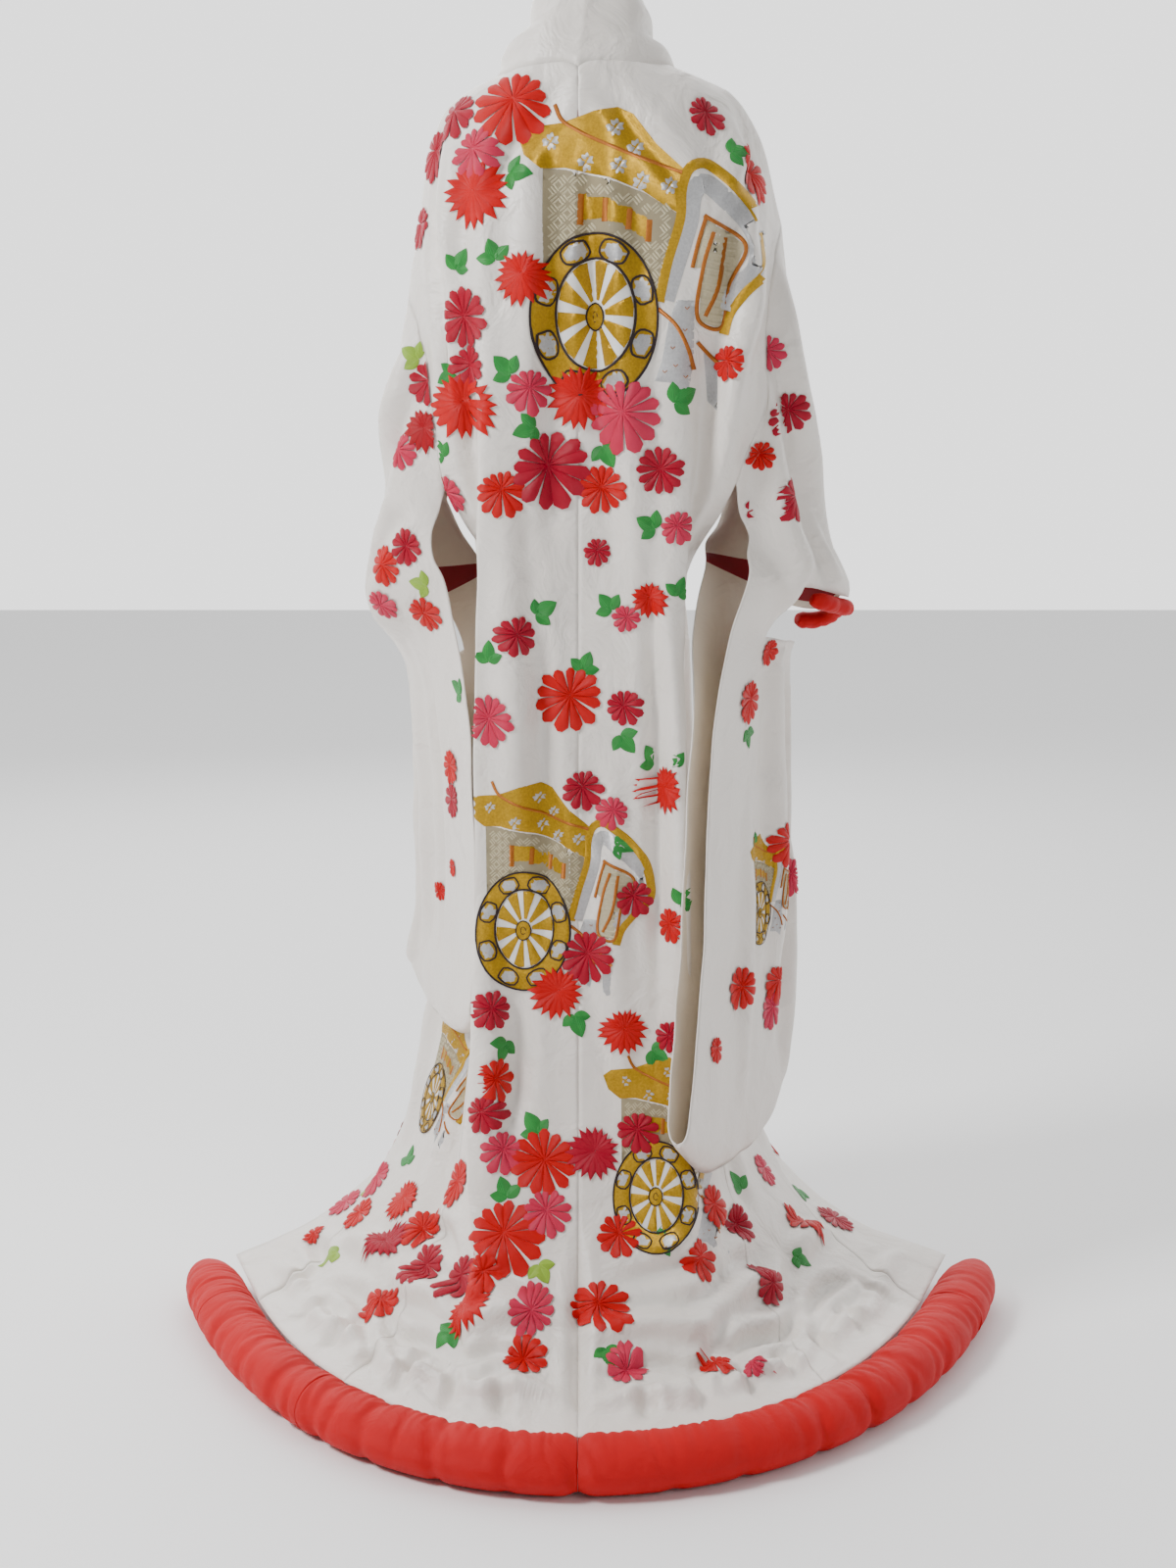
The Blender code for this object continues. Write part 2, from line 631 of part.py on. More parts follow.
def build():
    clear_scene()
    bodies = {}
    okumis = {}
    sleeves = {}
    for side in SIDES:
        bodies[side], crest = body_grid(side)
    sew_centre_back(bodies, crest)
    for side in SIDES:
        okumis[side] = okumi_grid(side, bodies[side], crest)
        sleeves[side] = sleeve_grid(side, bodies[side], crest)
    panels = {"collar": grid_faces(collar_grid(bodies, crest, okumis))}
    for side in SIDES:
        panels["body_" + side] = grid_faces(bodies[side], sewn_back=(crest + SLIT_ROWS) * STEPS_ALONG)
        panels["okumi_" + side] = grid_faces(okumis[side])
        panels["sleeve_" + side] = grid_faces(sleeves[side], sleeve_opening(side))
    orient(panels)
    normals = shared_normals(panels)
    for name, faces in panels.items():
        cloth_shell(name, faces, normals, "satin")
    for side in SIDES:
        cuff_roll(side, sleeves[side])
        ends = (0.0, HEM_ARC["side"], HEM_ARC["okumi_seam"], HEM_ARC["edge"])
        for name, start, end, segments in zip(("back", "front", "okumi"), ends, ends[1:], (8, 7, 6)):
            hem_roll(f"hem_roll_{name}_{side}", side, start, end, segments, name == "okumi")


def orient(panels):
    """Turn each panel's faces to the outside of the garment, starting from its largest overlap."""
    axis = Vector((0.0, 0.0, 0.0))
    for name, faces in panels.items():
        total = 0.0
        for face in faces:
            middle = face_middle(face)
            centre = sleeve_centre(faces, middle) if name.startswith("sleeve") else axis
            outward = Vector((middle.x - centre.x, middle.y - centre.y, 0.0))
            total += face_normal(face).dot(outward)
        if total < 0:
            panels[name] = [face[::-1] for face in faces]


def sleeve_centre(faces, middle):
    """The middle of a sleeve's section at the height of a point."""
    near = [face_middle(face) for face in faces]
    level = [p for p in near if abs(p.z - middle.z) < 0.05]
    return sum(level, Vector((0, 0, 0))) / len(level)


build()
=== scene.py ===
import math
import random

import bmesh
import bpy
import numpy as np
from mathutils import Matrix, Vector, noise
from mathutils.bvhtree import BVHTree
from mathutils.geometry import delaunay_2d_cdt


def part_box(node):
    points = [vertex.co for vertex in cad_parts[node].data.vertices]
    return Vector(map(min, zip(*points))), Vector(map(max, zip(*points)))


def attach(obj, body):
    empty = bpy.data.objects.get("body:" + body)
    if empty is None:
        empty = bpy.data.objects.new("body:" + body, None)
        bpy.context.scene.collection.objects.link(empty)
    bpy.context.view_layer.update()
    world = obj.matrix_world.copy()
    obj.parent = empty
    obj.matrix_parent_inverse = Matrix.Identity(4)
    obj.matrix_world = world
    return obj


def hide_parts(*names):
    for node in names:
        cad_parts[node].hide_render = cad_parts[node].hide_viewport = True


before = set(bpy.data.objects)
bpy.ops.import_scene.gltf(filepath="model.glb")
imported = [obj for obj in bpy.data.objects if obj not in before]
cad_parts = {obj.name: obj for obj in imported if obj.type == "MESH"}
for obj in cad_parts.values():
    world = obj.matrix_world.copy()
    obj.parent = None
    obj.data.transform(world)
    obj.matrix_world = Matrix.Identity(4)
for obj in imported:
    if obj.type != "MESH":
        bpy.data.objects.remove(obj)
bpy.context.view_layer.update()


# The camera and the pale studio. The robe is seen from behind, from chest height.
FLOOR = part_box("hem_roll_back_left")[0].z
NECK_HEIGHT = -FLOOR
EYE_HEIGHT = 1.10
LOOKING_DOWN = 11.0

camera_data = bpy.data.cameras.new("camera")
camera_data.sensor_fit = "VERTICAL"
camera_data.sensor_height = 36.0
camera_data.lens = 52.0
camera = bpy.data.objects.new("camera", camera_data)
camera.location = (-0.01, 2.5, EYE_HEIGHT - NECK_HEIGHT)
camera.rotation_euler = (math.radians(90.0 - LOOKING_DOWN), 0.0, math.radians(180.0))
bpy.context.scene.collection.objects.link(camera)
bpy.context.scene.camera = camera


def plain_material(name, colour, roughness, metallic=0.0):
    material = bpy.data.materials.new(name)
    material.use_nodes = True
    shader = material.node_tree.nodes["Principled BSDF"]
    shader.inputs["Base Color"].default_value = (*colour, 1.0)
    shader.inputs["Roughness"].default_value = roughness
    shader.inputs["Metallic"].default_value = metallic
    return material


bpy.ops.object.select_all(action="DESELECT")
bpy.ops.mesh.primitive_plane_add(size=14.0, location=(0.0, 0.0, FLOOR - 0.0005))
floor = bpy.context.object
floor.name = "studio_floor"
floor.data.materials.append(plain_material("floor_paper", (0.93, 0.93, 0.93), 0.9))

# White paper stands in front of the wearer. The rest of the room is dimmer, so that folds show.
world = bpy.data.worlds.new("studio")
bpy.context.scene.world = world
world.use_nodes = True
sky = world.node_tree.nodes
direction = sky.new("ShaderNodeTexCoord")
axes = sky.new("ShaderNodeSeparateXYZ")
paper = sky.new("ShaderNodeMapRange")
paper.inputs["From Min"].default_value = -0.35
paper.inputs["From Max"].default_value = 0.25
paper.inputs["To Min"].default_value = 2.0
paper.inputs["To Max"].default_value = 0.16
world.node_tree.links.new(direction.outputs["Generated"], axes.inputs["Vector"])
world.node_tree.links.new(axes.outputs["Y"], paper.inputs["Value"])
world.node_tree.links.new(paper.outputs["Result"], sky["Background"].inputs["Strength"])
sky["Background"].inputs["Color"].default_value = (1.0, 1.0, 1.0, 1.0)

# Name, place, size and power of each soft light, aimed at the middle of the robe.
ROBE_MIDDLE = Vector((0.0, 0.0, -0.6))
for name, stand, size, power in (
    ("key", (2.3, 1.3, 1.4), 0.8, 120.0),
    ("fill", (-1.8, 2.6, 0.6), 1.6, 22.0),
    ("front", (0.4, -2.6, 0.8), 2.4, 40.0),
):
    light_data = bpy.data.lights.new(name, "AREA")
    light_data.size = size
    light_data.energy = power
    light = bpy.data.objects.new(name, light_data)
    light.location = stand
    light.rotation_euler = (ROBE_MIDDLE - light.location).to_track_quat("-Z", "Y").to_euler()
    bpy.context.scene.collection.objects.link(light)


# The robe's cloth: two body lengths, two overlap panels, a collar band and two long sleeves, sewn edge
# to edge. Their grids follow the frame's panels at a finer step, so that seams meet point for point.
# Tables give heights above the floor; outwards is away from the centre back on either side.
SIDES = {"left": 1.0, "right": -1.0}
HEM_CENTRE_Y = -0.12
HEM_DEPTH = 0.613
HEM_HALF_WIDTH = {"left": 0.458, "right": 0.485}
HEM_TIP_ANGLE = math.radians(81.0)
TIP_FLARE = 0.026
HEM_SEAM_HEIGHT = 0.037
ROLL_WIDTH = 0.07
ROLL_CLEARANCE = 0.0012
CUFF_FRONT_DROP = 0.035
STEPS_ALONG = 16
STEPS_ACROSS = (24, 14, 8, 14)
SLEEVE_COLUMNS = 10 * STEPS_ALONG
SLEEVE_STEPS = (10, 8, 8, 10, 10, 16, 16, 18, 18)
# Shares of the way round the sleeve, from its back layer, that the cuff opening takes.
OPENING_SHARE = {"left": (0.40, 0.85), "right": (0.15, 0.75)}
OKUMI_COLUMNS = 12
COLLAR_COLUMNS = 10
ARMHOLE_ROWS = 5
SLIT_ROWS = 6
NAPE_ROWS = 2
OKUMI_TOP_ROWS = 4
HEM_TABLE_STEPS = 161
TIP_FLARE_POWER = 6

HEM_ARC = {
    "centre": 0.00, "column": 0.12, "root": 0.19, "drape": 0.26, "side": 0.33,
    "front_drape": 0.40, "front_middle": 0.47, "front_inner": 0.54, "okumi_seam": 0.60, "edge": 0.76,
}

# Back, neck to armhole end. Columns, each (outwards, back, height):
# centre, column edge, pleat root, drape over the arm, side.
BACK_TOP = {
    "left": (
        ((0.088, 0.020, 1.372), (0.118, 0.016, 1.358), (0.142, 0.010, 1.338),
         (0.163, 0.004, 1.280), (0.184, 0.000, 1.150)),
        ((0.055, 0.074, 1.380), (0.108, 0.062, 1.350), (0.138, 0.046, 1.315),
         (0.160, 0.030, 1.250), (0.181, 0.024, 1.142)),
        ((0.000, 0.090, 1.377), (0.092, 0.094, 1.318), (0.130, 0.080, 1.272),
         (0.156, 0.058, 1.205), (0.173, 0.045, 1.125)),
        ((0.000, 0.115, 1.270), (0.092, 0.118, 1.215), (0.124, 0.098, 1.180),
         (0.146, 0.090, 1.140), (0.163, 0.062, 1.085)),
        ((0.000, 0.122, 1.130), (0.097, 0.125, 1.090), (0.116, 0.096, 1.060),
         (0.136, 0.096, 1.040), (0.152, 0.076, 1.020)),
        ((0.000, 0.118, 1.000), (0.101, 0.124, 0.975), (0.104, 0.090, 0.955),
         (0.122, 0.088, 0.950), (0.142, 0.072, 0.950)),
    ),
    "right": (
        ((0.103, 0.020, 1.379), (0.132, 0.016, 1.370), (0.160, 0.012, 1.358),
         (0.190, 0.004, 1.318), (0.215, 0.000, 1.225)),
        ((0.060, 0.076, 1.382), (0.118, 0.066, 1.360), (0.152, 0.052, 1.336),
         (0.184, 0.034, 1.292), (0.211, 0.026, 1.215)),
        ((0.000, 0.090, 1.377), (0.100, 0.097, 1.330), (0.145, 0.090, 1.298),
         (0.180, 0.074, 1.250), (0.204, 0.052, 1.185)),
        ((0.000, 0.115, 1.270), (0.104, 0.124, 1.225), (0.140, 0.122, 1.200),
         (0.176, 0.106, 1.165), (0.198, 0.076, 1.115)),
        ((0.000, 0.122, 1.130), (0.108, 0.128, 1.090), (0.130, 0.108, 1.070),
         (0.165, 0.122, 1.050), (0.192, 0.094, 1.030)),
        ((0.000, 0.118, 1.000), (0.112, 0.126, 0.975), (0.124, 0.098, 0.965),
         (0.145, 0.112, 0.960), (0.166, 0.098, 0.955)),
    ),
}

# Front, neck to armhole end. Columns: inner edge, inner front, middle, drape over the arm, side.
FRONT_TOP = {
    "left": (
        ((0.088, -0.035, 1.348), (0.112, -0.038, 1.336), (0.138, -0.038, 1.308),
         (0.160, -0.030, 1.250), (0.181, -0.024, 1.142)),
        ((0.082, -0.078, 1.285), (0.104, -0.080, 1.275), (0.128, -0.076, 1.252),
         (0.153, -0.060, 1.205), (0.173, -0.045, 1.125)),
        ((0.082, -0.106, 1.190), (0.100, -0.106, 1.180), (0.122, -0.100, 1.165),
         (0.145, -0.082, 1.130), (0.163, -0.062, 1.085)),
        ((0.088, -0.122, 1.080), (0.102, -0.120, 1.070), (0.118, -0.110, 1.060),
         (0.136, -0.092, 1.040), (0.152, -0.074, 1.020)),
        ((0.094, -0.132, 0.960), (0.108, -0.124, 0.960), (0.120, -0.110, 0.955),
         (0.130, -0.090, 0.950), (0.142, -0.070, 0.950)),
    ),
    "right": (
        ((0.100, -0.035, 1.352), (0.130, -0.040, 1.342), (0.158, -0.040, 1.322),
         (0.186, -0.030, 1.280), (0.211, -0.026, 1.215)),
        ((0.090, -0.078, 1.285), (0.116, -0.082, 1.280), (0.146, -0.080, 1.262),
         (0.176, -0.066, 1.230), (0.204, -0.052, 1.185)),
        ((0.086, -0.106, 1.190), (0.108, -0.108, 1.185), (0.136, -0.105, 1.170),
         (0.165, -0.092, 1.140), (0.192, -0.072, 1.110)),
        ((0.088, -0.122, 1.080), (0.105, -0.122, 1.075), (0.126, -0.118, 1.060),
         (0.150, -0.104, 1.040), (0.172, -0.085, 1.020)),
        ((0.094, -0.132, 0.960), (0.108, -0.126, 0.960), (0.120, -0.114, 0.955),
         (0.134, -0.096, 0.955), (0.150, -0.080, 0.955)),
    ),
}

# The standing skirt, a row for each section. Columns: height, centre back y, then (outwards, back)
# of column edge, pleat root, drape, side, front drape, front middle, front inner, okumi seam, edge.
SKIRT = (
    (0.83, 0.118, (0.107, 0.122), (0.072, 0.090), (0.070, 0.058), (0.082, 0.008),
     (0.098, -0.045), (0.108, -0.090), (0.106, -0.122), (0.098, -0.140), (0.080, -0.155)),
    (0.72, 0.121, (0.109, 0.124), (0.069, 0.088), (0.066, 0.056), (0.078, 0.001),
     (0.096, -0.047), (0.108, -0.092), (0.109, -0.125), (0.103, -0.146), (0.078, -0.169)),
    (0.60, 0.127, (0.111, 0.126), (0.069, 0.090), (0.068, 0.057), (0.080, 0.000),
     (0.098, -0.046), (0.112, -0.092), (0.116, -0.130), (0.113, -0.154), (0.081, -0.183)),
    (0.48, 0.137, (0.113, 0.132), (0.072, 0.096), (0.071, 0.060), (0.084, 0.002),
     (0.106, -0.044), (0.122, -0.090), (0.130, -0.133), (0.130, -0.161), (0.094, -0.195)),
    (0.38, 0.150, (0.116, 0.142), (0.080, 0.105), (0.080, 0.068), (0.093, 0.008),
     (0.118, -0.036), (0.136, -0.085), (0.150, -0.133), (0.154, -0.165), (0.118, -0.205)),
    (0.30, 0.166, (0.119, 0.154), (0.100, 0.120), (0.105, 0.084), (0.115, 0.022),
     (0.134, -0.022), (0.158, -0.075), (0.176, -0.128), (0.184, -0.165), (0.150, -0.212)),
)

# The right side stands fuller under its sleeve: how much, and each column's share of it.
SIDE_FULLNESS = {"left": 0.0, "right": 0.034}
SIDE_SHARE = (0.12, 0.70, 1.00, 0.90, 0.55, 0.25, 0.10, 0.00, 0.00)

# The train: share of the way from the last standing row to the hem seam, and height.
TRAIN = ((0.18, 0.172), (0.42, 0.096), (0.70, 0.054), (1.00, HEM_SEAM_HEIGHT))

# The okumi edge where the collar still lies on it, (outwards, back, height), below its top point.
OKUMI_EDGE_TOP = (0.086, -0.137, 0.960)

# The collar's free edge, from its lower end on the okumi up to the nape.
COLLAR_EDGE = {
    "left": ((0.024, -0.212, 0.60), (0.020, -0.203, 0.72), (0.020, -0.190, 0.83), (0.024, -0.172, 0.96),
             (0.026, -0.152, 1.085), (0.024, -0.130, 1.20), (0.028, -0.094, 1.32), (0.042, -0.048, 1.405),
             (0.046, 0.008, 1.445), (0.032, 0.044, 1.474), (-0.012, 0.056, 1.487)),
    "right": ((0.024, -0.212, 0.60), (0.020, -0.203, 0.72), (0.020, -0.190, 0.83), (0.024, -0.172, 0.96),
              (0.026, -0.152, 1.085), (0.026, -0.130, 1.20), (0.034, -0.094, 1.32), (0.056, -0.048, 1.405),
              (0.066, 0.008, 1.445), (0.052, 0.044, 1.474), (0.012, 0.056, 1.487)),
}

# Sleeves below the armhole seam. Columns: middle of the open inner side (outwards, back, height),
# outer fold (outwards, back, height), distance between the two layers.
SLEEVE = {
    "left": (
        ((0.149, 0.001, 0.925), (0.194, 0.001, 1.080), 0.139),
        ((0.146, 0.007, 0.900), (0.200, -0.003, 1.010), 0.126),
        ((0.136, 0.021, 0.875), (0.207, -0.009, 0.935), 0.104),
        ((0.125, 0.036, 0.852), (0.230, -0.027, 0.825), 0.080),
        ((0.113, 0.057, 0.790), (0.192, -0.105, 0.730), 0.046),
        ((0.106, 0.072, 0.690), (0.193, -0.145, 0.620), 0.026),
        ((0.104, 0.077, 0.580), (0.192, -0.168, 0.520), 0.024),
        ((0.104, 0.079, 0.470), (0.192, -0.178, 0.430), 0.022),
        ((0.107, 0.080, 0.385), (0.204, -0.178, 0.375), 0.022),
    ),
    "right": (
        ((0.168, 0.010, 0.925), (0.226, 0.008, 1.120), 0.166),
        ((0.169, 0.020, 0.900), (0.243, 0.006, 1.000), 0.136),
        ((0.160, 0.038, 0.880), (0.258, 0.002, 0.920), 0.112),
        ((0.159, 0.064, 0.862), (0.288, -0.012, 0.825), 0.086),
        ((0.142, 0.104, 0.800), (0.236, -0.045, 0.770), 0.046),
        ((0.132, 0.140, 0.710), (0.236, -0.055, 0.690), 0.030),
        ((0.125, 0.153, 0.600), (0.238, -0.060, 0.570), 0.028),
        ((0.120, 0.172, 0.460), (0.240, -0.053, 0.450), 0.026),
        ((0.106, 0.222, 0.300), (0.242, -0.035, 0.300), 0.022),
    ),
}
CUFF_ROW = 4
BOTTOM_ROWS = 10
BOTTOM_ROUNDING = 2.6
# The sleeve's bottom seam: inner end, outer end (outwards, back), height, corner height.
SLEEVE_BOTTOM = {
    "left": ((0.113, 0.078), (0.204, -0.168), 0.325, 0.040),
    "right": ((0.104, 0.234), (0.241, -0.022), 0.212, 0.062),
}


def place(side, point):
    """A table's point (outwards, back, height above the floor) in the robe's own frame."""
    return (SIDES[side] * point[0], point[1], point[2] - NECK_HEIGHT)


def refine(keys, steps):
    """Points on smooth curves through rows of keys, steps[i] of them in interval i."""
    keys = np.asarray(keys, float)
    if isinstance(steps, int):
        steps = (steps,) * (len(keys) - 1)
    rows = []
    for i, count in enumerate(steps):
        start, end = keys[i], keys[i + 1]
        before = keys[i - 1] if i else 2 * keys[0] - keys[1]
        after = keys[i + 2] if i + 2 < len(keys) else 2 * keys[-1] - keys[-2]
        knots = [np.zeros(start.shape[:-1] + (1,))]
        for a, b in ((before, start), (start, end), (end, after)):
            length = np.linalg.norm(b - a, axis=-1, keepdims=True)
            knots.append(knots[-1] + np.sqrt(np.maximum(length, 1e-6)))
        for step in range(count):
            t = knots[1] + (knots[2] - knots[1]) * step / count

            def blend(a, b, low, high):
                return a + (b - a) * (t - knots[low]) / (knots[high] - knots[low])

            first, second, third = (blend(before, start, 0, 1), blend(start, end, 1, 2),
                                    blend(end, after, 2, 3))
            rows.append(blend(blend(first, second, 0, 2), blend(second, third, 1, 3), 1, 2))
    rows.append(keys[-1])
    return np.array(rows)


def hem_table(side, inset):
    """Arc lengths round the hem's outer edge, and plan points set in from it."""
    turn = np.linspace(0.0, 1.0, HEM_TABLE_STEPS)
    angle = HEM_TIP_ANGLE * turn
    width = HEM_HALF_WIDTH[side]
    flare = TIP_FLARE * turn ** TIP_FLARE_POWER
    outer = np.stack([width * np.sin(angle) + flare, HEM_CENTRE_Y + HEM_DEPTH * np.cos(angle)], 1)
    inner = np.stack([(width - inset) * np.sin(angle) + flare,
                      HEM_CENTRE_Y + (HEM_DEPTH - inset) * np.cos(angle)], 1)
    arc = np.concatenate([[0.0], np.cumsum(np.linalg.norm(np.diff(outer, axis=0), axis=1))])
    return arc * HEM_ARC["edge"] / arc[-1], inner


def hem_point(side, arc, inset):
    """A plan point of the hem, arc metres from the centre back along the roll's outer edge."""
    table, points = hem_table(side, inset)
    return SIDES[side] * np.interp(arc, table, points[:, 0]), np.interp(arc, table, points[:, 1])


def train_rows(side, standing, names):
    """Key rows of the train, from the last standing row out to the named marks on the hem."""
    ends = [hem_point(side, HEM_ARC[name], ROLL_WIDTH + ROLL_CLEARANCE) for name in names]
    rows = []
    for share, height in TRAIN:
        row = []
        for start, end in zip(standing, ends):
            row.append((start[0] + (end[0] - start[0]) * share, start[1] + (end[1] - start[1]) * share,
                        height - NECK_HEIGHT))
        rows.append(row)
    return rows


def body_grid(side):
    """One body length, from the back hem over the shoulder to the front hem, and its crest's key row."""
    back = [[place(side, p) for p in row] for row in BACK_TOP[side]]
    front = [[place(side, p) for p in row] for row in FRONT_TOP[side]]
    for height, centre, *pairs in SKIRT:
        points = [place(side, (x + SIDE_FULLNESS[side] * share, y, height))
                  for (x, y), share in zip(pairs, SIDE_SHARE)]
        back.append([place(side, (0.0, centre, height))] + points[:4])
        front.append([points[7], points[6], points[5], points[4], points[3]])
    back += train_rows(side, back[-1], ("centre", "column", "root", "drape", "side"))
    front += train_rows(side, front[-1], ("okumi_seam", "front_inner", "front_middle", "front_drape", "side"))
    keys = np.array(back[::-1] + front)
    across = refine(keys.transpose(1, 0, 2), STEPS_ACROSS).transpose(1, 0, 2)
    grid = refine(across, STEPS_ALONG)
    crest = len(back) - 1
    seam_rows = (crest - SLIT_ROWS) * STEPS_ALONG + 1
    for i in range(seam_rows):
        grid[-1 - i][-1] = grid[i][-1]
    return grid, crest


def okumi_grid(side, body, crest):
    """The overlap panel, from the seam on the body's front edge out to its free edge."""
    keys = [place(side, FRONT_TOP[side][OKUMI_TOP_ROWS - 1][0]), place(side, OKUMI_EDGE_TOP)]
    for row in SKIRT:
        keys.append(place(side, (row[-1][0], row[-1][1], row[0])))
    keys += [row[0] for row in train_rows(side, [keys[-1]], ("edge",))]
    outer = refine(keys, STEPS_ALONG)
    inner = body[(crest + OKUMI_TOP_ROWS) * STEPS_ALONG:, 0]
    share = np.linspace(0.0, 1.0, OKUMI_COLUMNS + 1)[None, :, None]
    return inner[:, None] * (1 - share) + outer[:, None] * share


def collar_grid(bodies, crest, okumis):
    """The collar, from its lower left end up round the nape and down to its lower right end."""
    halves = []
    for side in SIDES:
        seam = np.concatenate([
            bodies[side][(crest - NAPE_ROWS) * STEPS_ALONG:(crest + OKUMI_TOP_ROWS) * STEPS_ALONG, 0],
            okumis[side][:OKUMI_TOP_ROWS * STEPS_ALONG + 1, -1]])
        free = refine([place(side, p) for p in COLLAR_EDGE[side]], STEPS_ALONG)[::-1]
        share = np.linspace(0.0, 1.0, COLLAR_COLUMNS + 1)[None, :, None]
        halves.append(seam[:, None] * (1 - share) + free[:, None] * share)
    return np.concatenate([halves[0][::-1], halves[1][1:]])


def sleeve_section(side, edge, fold, spread, drop=0.0):
    """A row round the sleeve: back layer, outer fold, front layer. The front layer drops at the cuff."""
    edge = np.array(edge)
    fold = np.array(fold)
    axis = (fold - edge)[:2] / np.linalg.norm((fold - edge)[:2])
    turn = np.pi * np.arange(SLEEVE_COLUMNS + 1) / SLEEVE_COLUMNS
    along = np.sin(turn)
    level = np.sign(np.cos(turn)) * np.sqrt(np.abs(np.cos(turn)))
    points = edge + (fold - edge) * along[:, None]
    points[:, 0] += -axis[1] * level * spread / 2
    points[:, 1] += axis[0] * level * spread / 2
    points[:, 2] -= drop * along * np.sqrt(np.maximum(0.0, -np.cos(turn)))
    points[:, 0] *= SIDES[side]
    points[:, 2] -= NECK_HEIGHT
    return points


def sleeve_grid(side, body, crest):
    """The whole sleeve, from the armhole seam down to its rounded and closed bottom seam."""
    keys = [body[(crest - ARMHOLE_ROWS) * STEPS_ALONG:(crest + ARMHOLE_ROWS) * STEPS_ALONG + 1, -1]]
    for number, (edge, fold, spread) in enumerate(SLEEVE[side], 1):
        keys.append(sleeve_section(side, edge, fold, spread, CUFF_FRONT_DROP if number == CUFF_ROW else 0.0))
    rows = list(refine(keys, SLEEVE_STEPS))
    inner, outer, height, corner = SLEEVE_BOTTOM[side]
    edge, fold, spread = SLEEVE[side][-1]
    along = np.sin(np.pi * np.arange(SLEEVE_COLUMNS + 1) / SLEEVE_COLUMNS)
    for share in np.linspace(1.0 / BOTTOM_ROWS, 1.0, BOTTOM_ROWS):
        width = math.sqrt(max(0.0, 1.0 - share ** BOTTOM_ROUNDING))
        low_edge = np.array(edge) * (1 - share) + np.array((*inner, height)) * share
        low_fold = np.array(fold) * (1 - share) + np.array((*outer, height)) * share
        row = sleeve_section(side, low_edge, low_fold, spread * width)
        row[:, 2] += share * corner * np.abs(2 * along - 1) ** 3
        rows.append(row)
    half = SLEEVE_COLUMNS // 2
    rows[-1][half + 1:] = rows[-1][:half][::-1]
    return np.array(rows)


bodies = {}
for side in SIDES:
    bodies[side], crest = body_grid(side)
for i in range((crest - NAPE_ROWS) * STEPS_ALONG + 1):
    seam = (bodies["left"][i][0] + bodies["right"][i][0]) / 2
    seam[0] = 0.0
    bodies["left"][i][0] = seam
    bodies["right"][i][0] = seam
okumis = {side: okumi_grid(side, bodies[side], crest) for side in SIDES}
grids = {"collar": collar_grid(bodies, crest, okumis)}
for side in SIDES:
    grids["body_" + side] = bodies[side]
    grids["okumi_" + side] = okumis[side]
    grids["sleeve_" + side] = sleeve_grid(side, bodies[side], crest)
OPEN_TOP = sum(SLEEVE_STEPS[:CUFF_ROW])
OPEN_ROWS = range(OPEN_TOP, OPEN_TOP + SLEEVE_STEPS[CUFF_ROW])
OPEN_COLUMNS = {side: range(int(first * SLEEVE_COLUMNS), int(last * SLEEVE_COLUMNS))
                for side, (first, last) in OPENING_SHARE.items()}


def panel_point(name, row, column):
    """The place and outward direction at a panel's key row and key column, or share of one."""
    grid = grids[name]
    if name.startswith("sleeve"):
        steps = list(SLEEVE_STEPS) + [BOTTOM_ROWS]
        marks = np.concatenate([[0], np.cumsum(steps)])
        r = np.interp(row, range(len(marks)), marks)
        c = column * SLEEVE_COLUMNS
    else:
        r = row * STEPS_ALONG
        if name.startswith("body"):
            c = np.interp(column, range(5), np.concatenate([[0], np.cumsum(STEPS_ACROSS)]))
        else:
            c = column * (grid.shape[1] - 1)
    r0 = min(int(r), grid.shape[0] - 2)
    c0 = min(int(c), grid.shape[1] - 2)
    fr, fc = r - r0, c - c0
    result = []
    for values in (grid, outward[name]):
        near = values[r0, c0] * (1 - fc) + values[r0, c0 + 1] * fc
        far = values[r0 + 1, c0] * (1 - fc) + values[r0 + 1, c0 + 1] * fc
        result.append(near * (1 - fr) + far * fr)
    return result


def panel_cells(name):
    """Quads of a panel as rows of four (row, column) numbers, without the cuff opening."""
    rows, columns = grids[name].shape[:2]
    cells = []
    for r in range(rows - 1):
        for c in range(columns - 1):
            if name.startswith("sleeve") and r in OPEN_ROWS and c in OPEN_COLUMNS[name.split("_")[1]]:
                continue
            here, below = r * columns + c, (r + 1) * columns + c
            cells.append((here, here + 1, below + 1, below))
    return np.array(cells)


cells = {name: panel_cells(name) for name in grids}


def shared_outward():
    """The outward direction at every point, shared by the panels that meet there."""
    points = np.concatenate([grid.reshape(-1, 3) for grid in grids.values()])
    unique, merged = np.unique(np.round(points, 5), axis=0, return_inverse=True)
    merged = merged.reshape(-1)
    total = np.zeros((len(unique), 3))
    start = 0
    for name, grid in grids.items():
        quads = cells[name] + start
        a, b, c, d = (points[quads[:, k]] for k in range(4))
        normal = np.cross(c - a, d - b)
        middle = (a + b + c + d) / 4
        centre = np.zeros((len(middle), 3))
        if name.startswith("sleeve"):
            rows = grid.mean(axis=1)
            centre = rows[cells[name][:, 0] // grid.shape[1]]
        if (normal * (middle - centre) * (1, 1, 0)).sum() < 0:
            normal = -normal
            cells[name] = cells[name][:, ::-1]
        normal /= np.maximum(np.linalg.norm(normal, axis=1, keepdims=True), 1e-12)
        for k in range(4):
            np.add.at(total, merged[quads[:, k]], normal)
        start += grid.shape[0] * grid.shape[1]
    total /= np.maximum(np.linalg.norm(total, axis=1, keepdims=True), 1e-12)
    result = {}
    start = 0
    for name, grid in grids.items():
        count = grid.shape[0] * grid.shape[1]
        result[name] = total[merged[start:start + count]].reshape(grid.shape)
        start += count
    return result


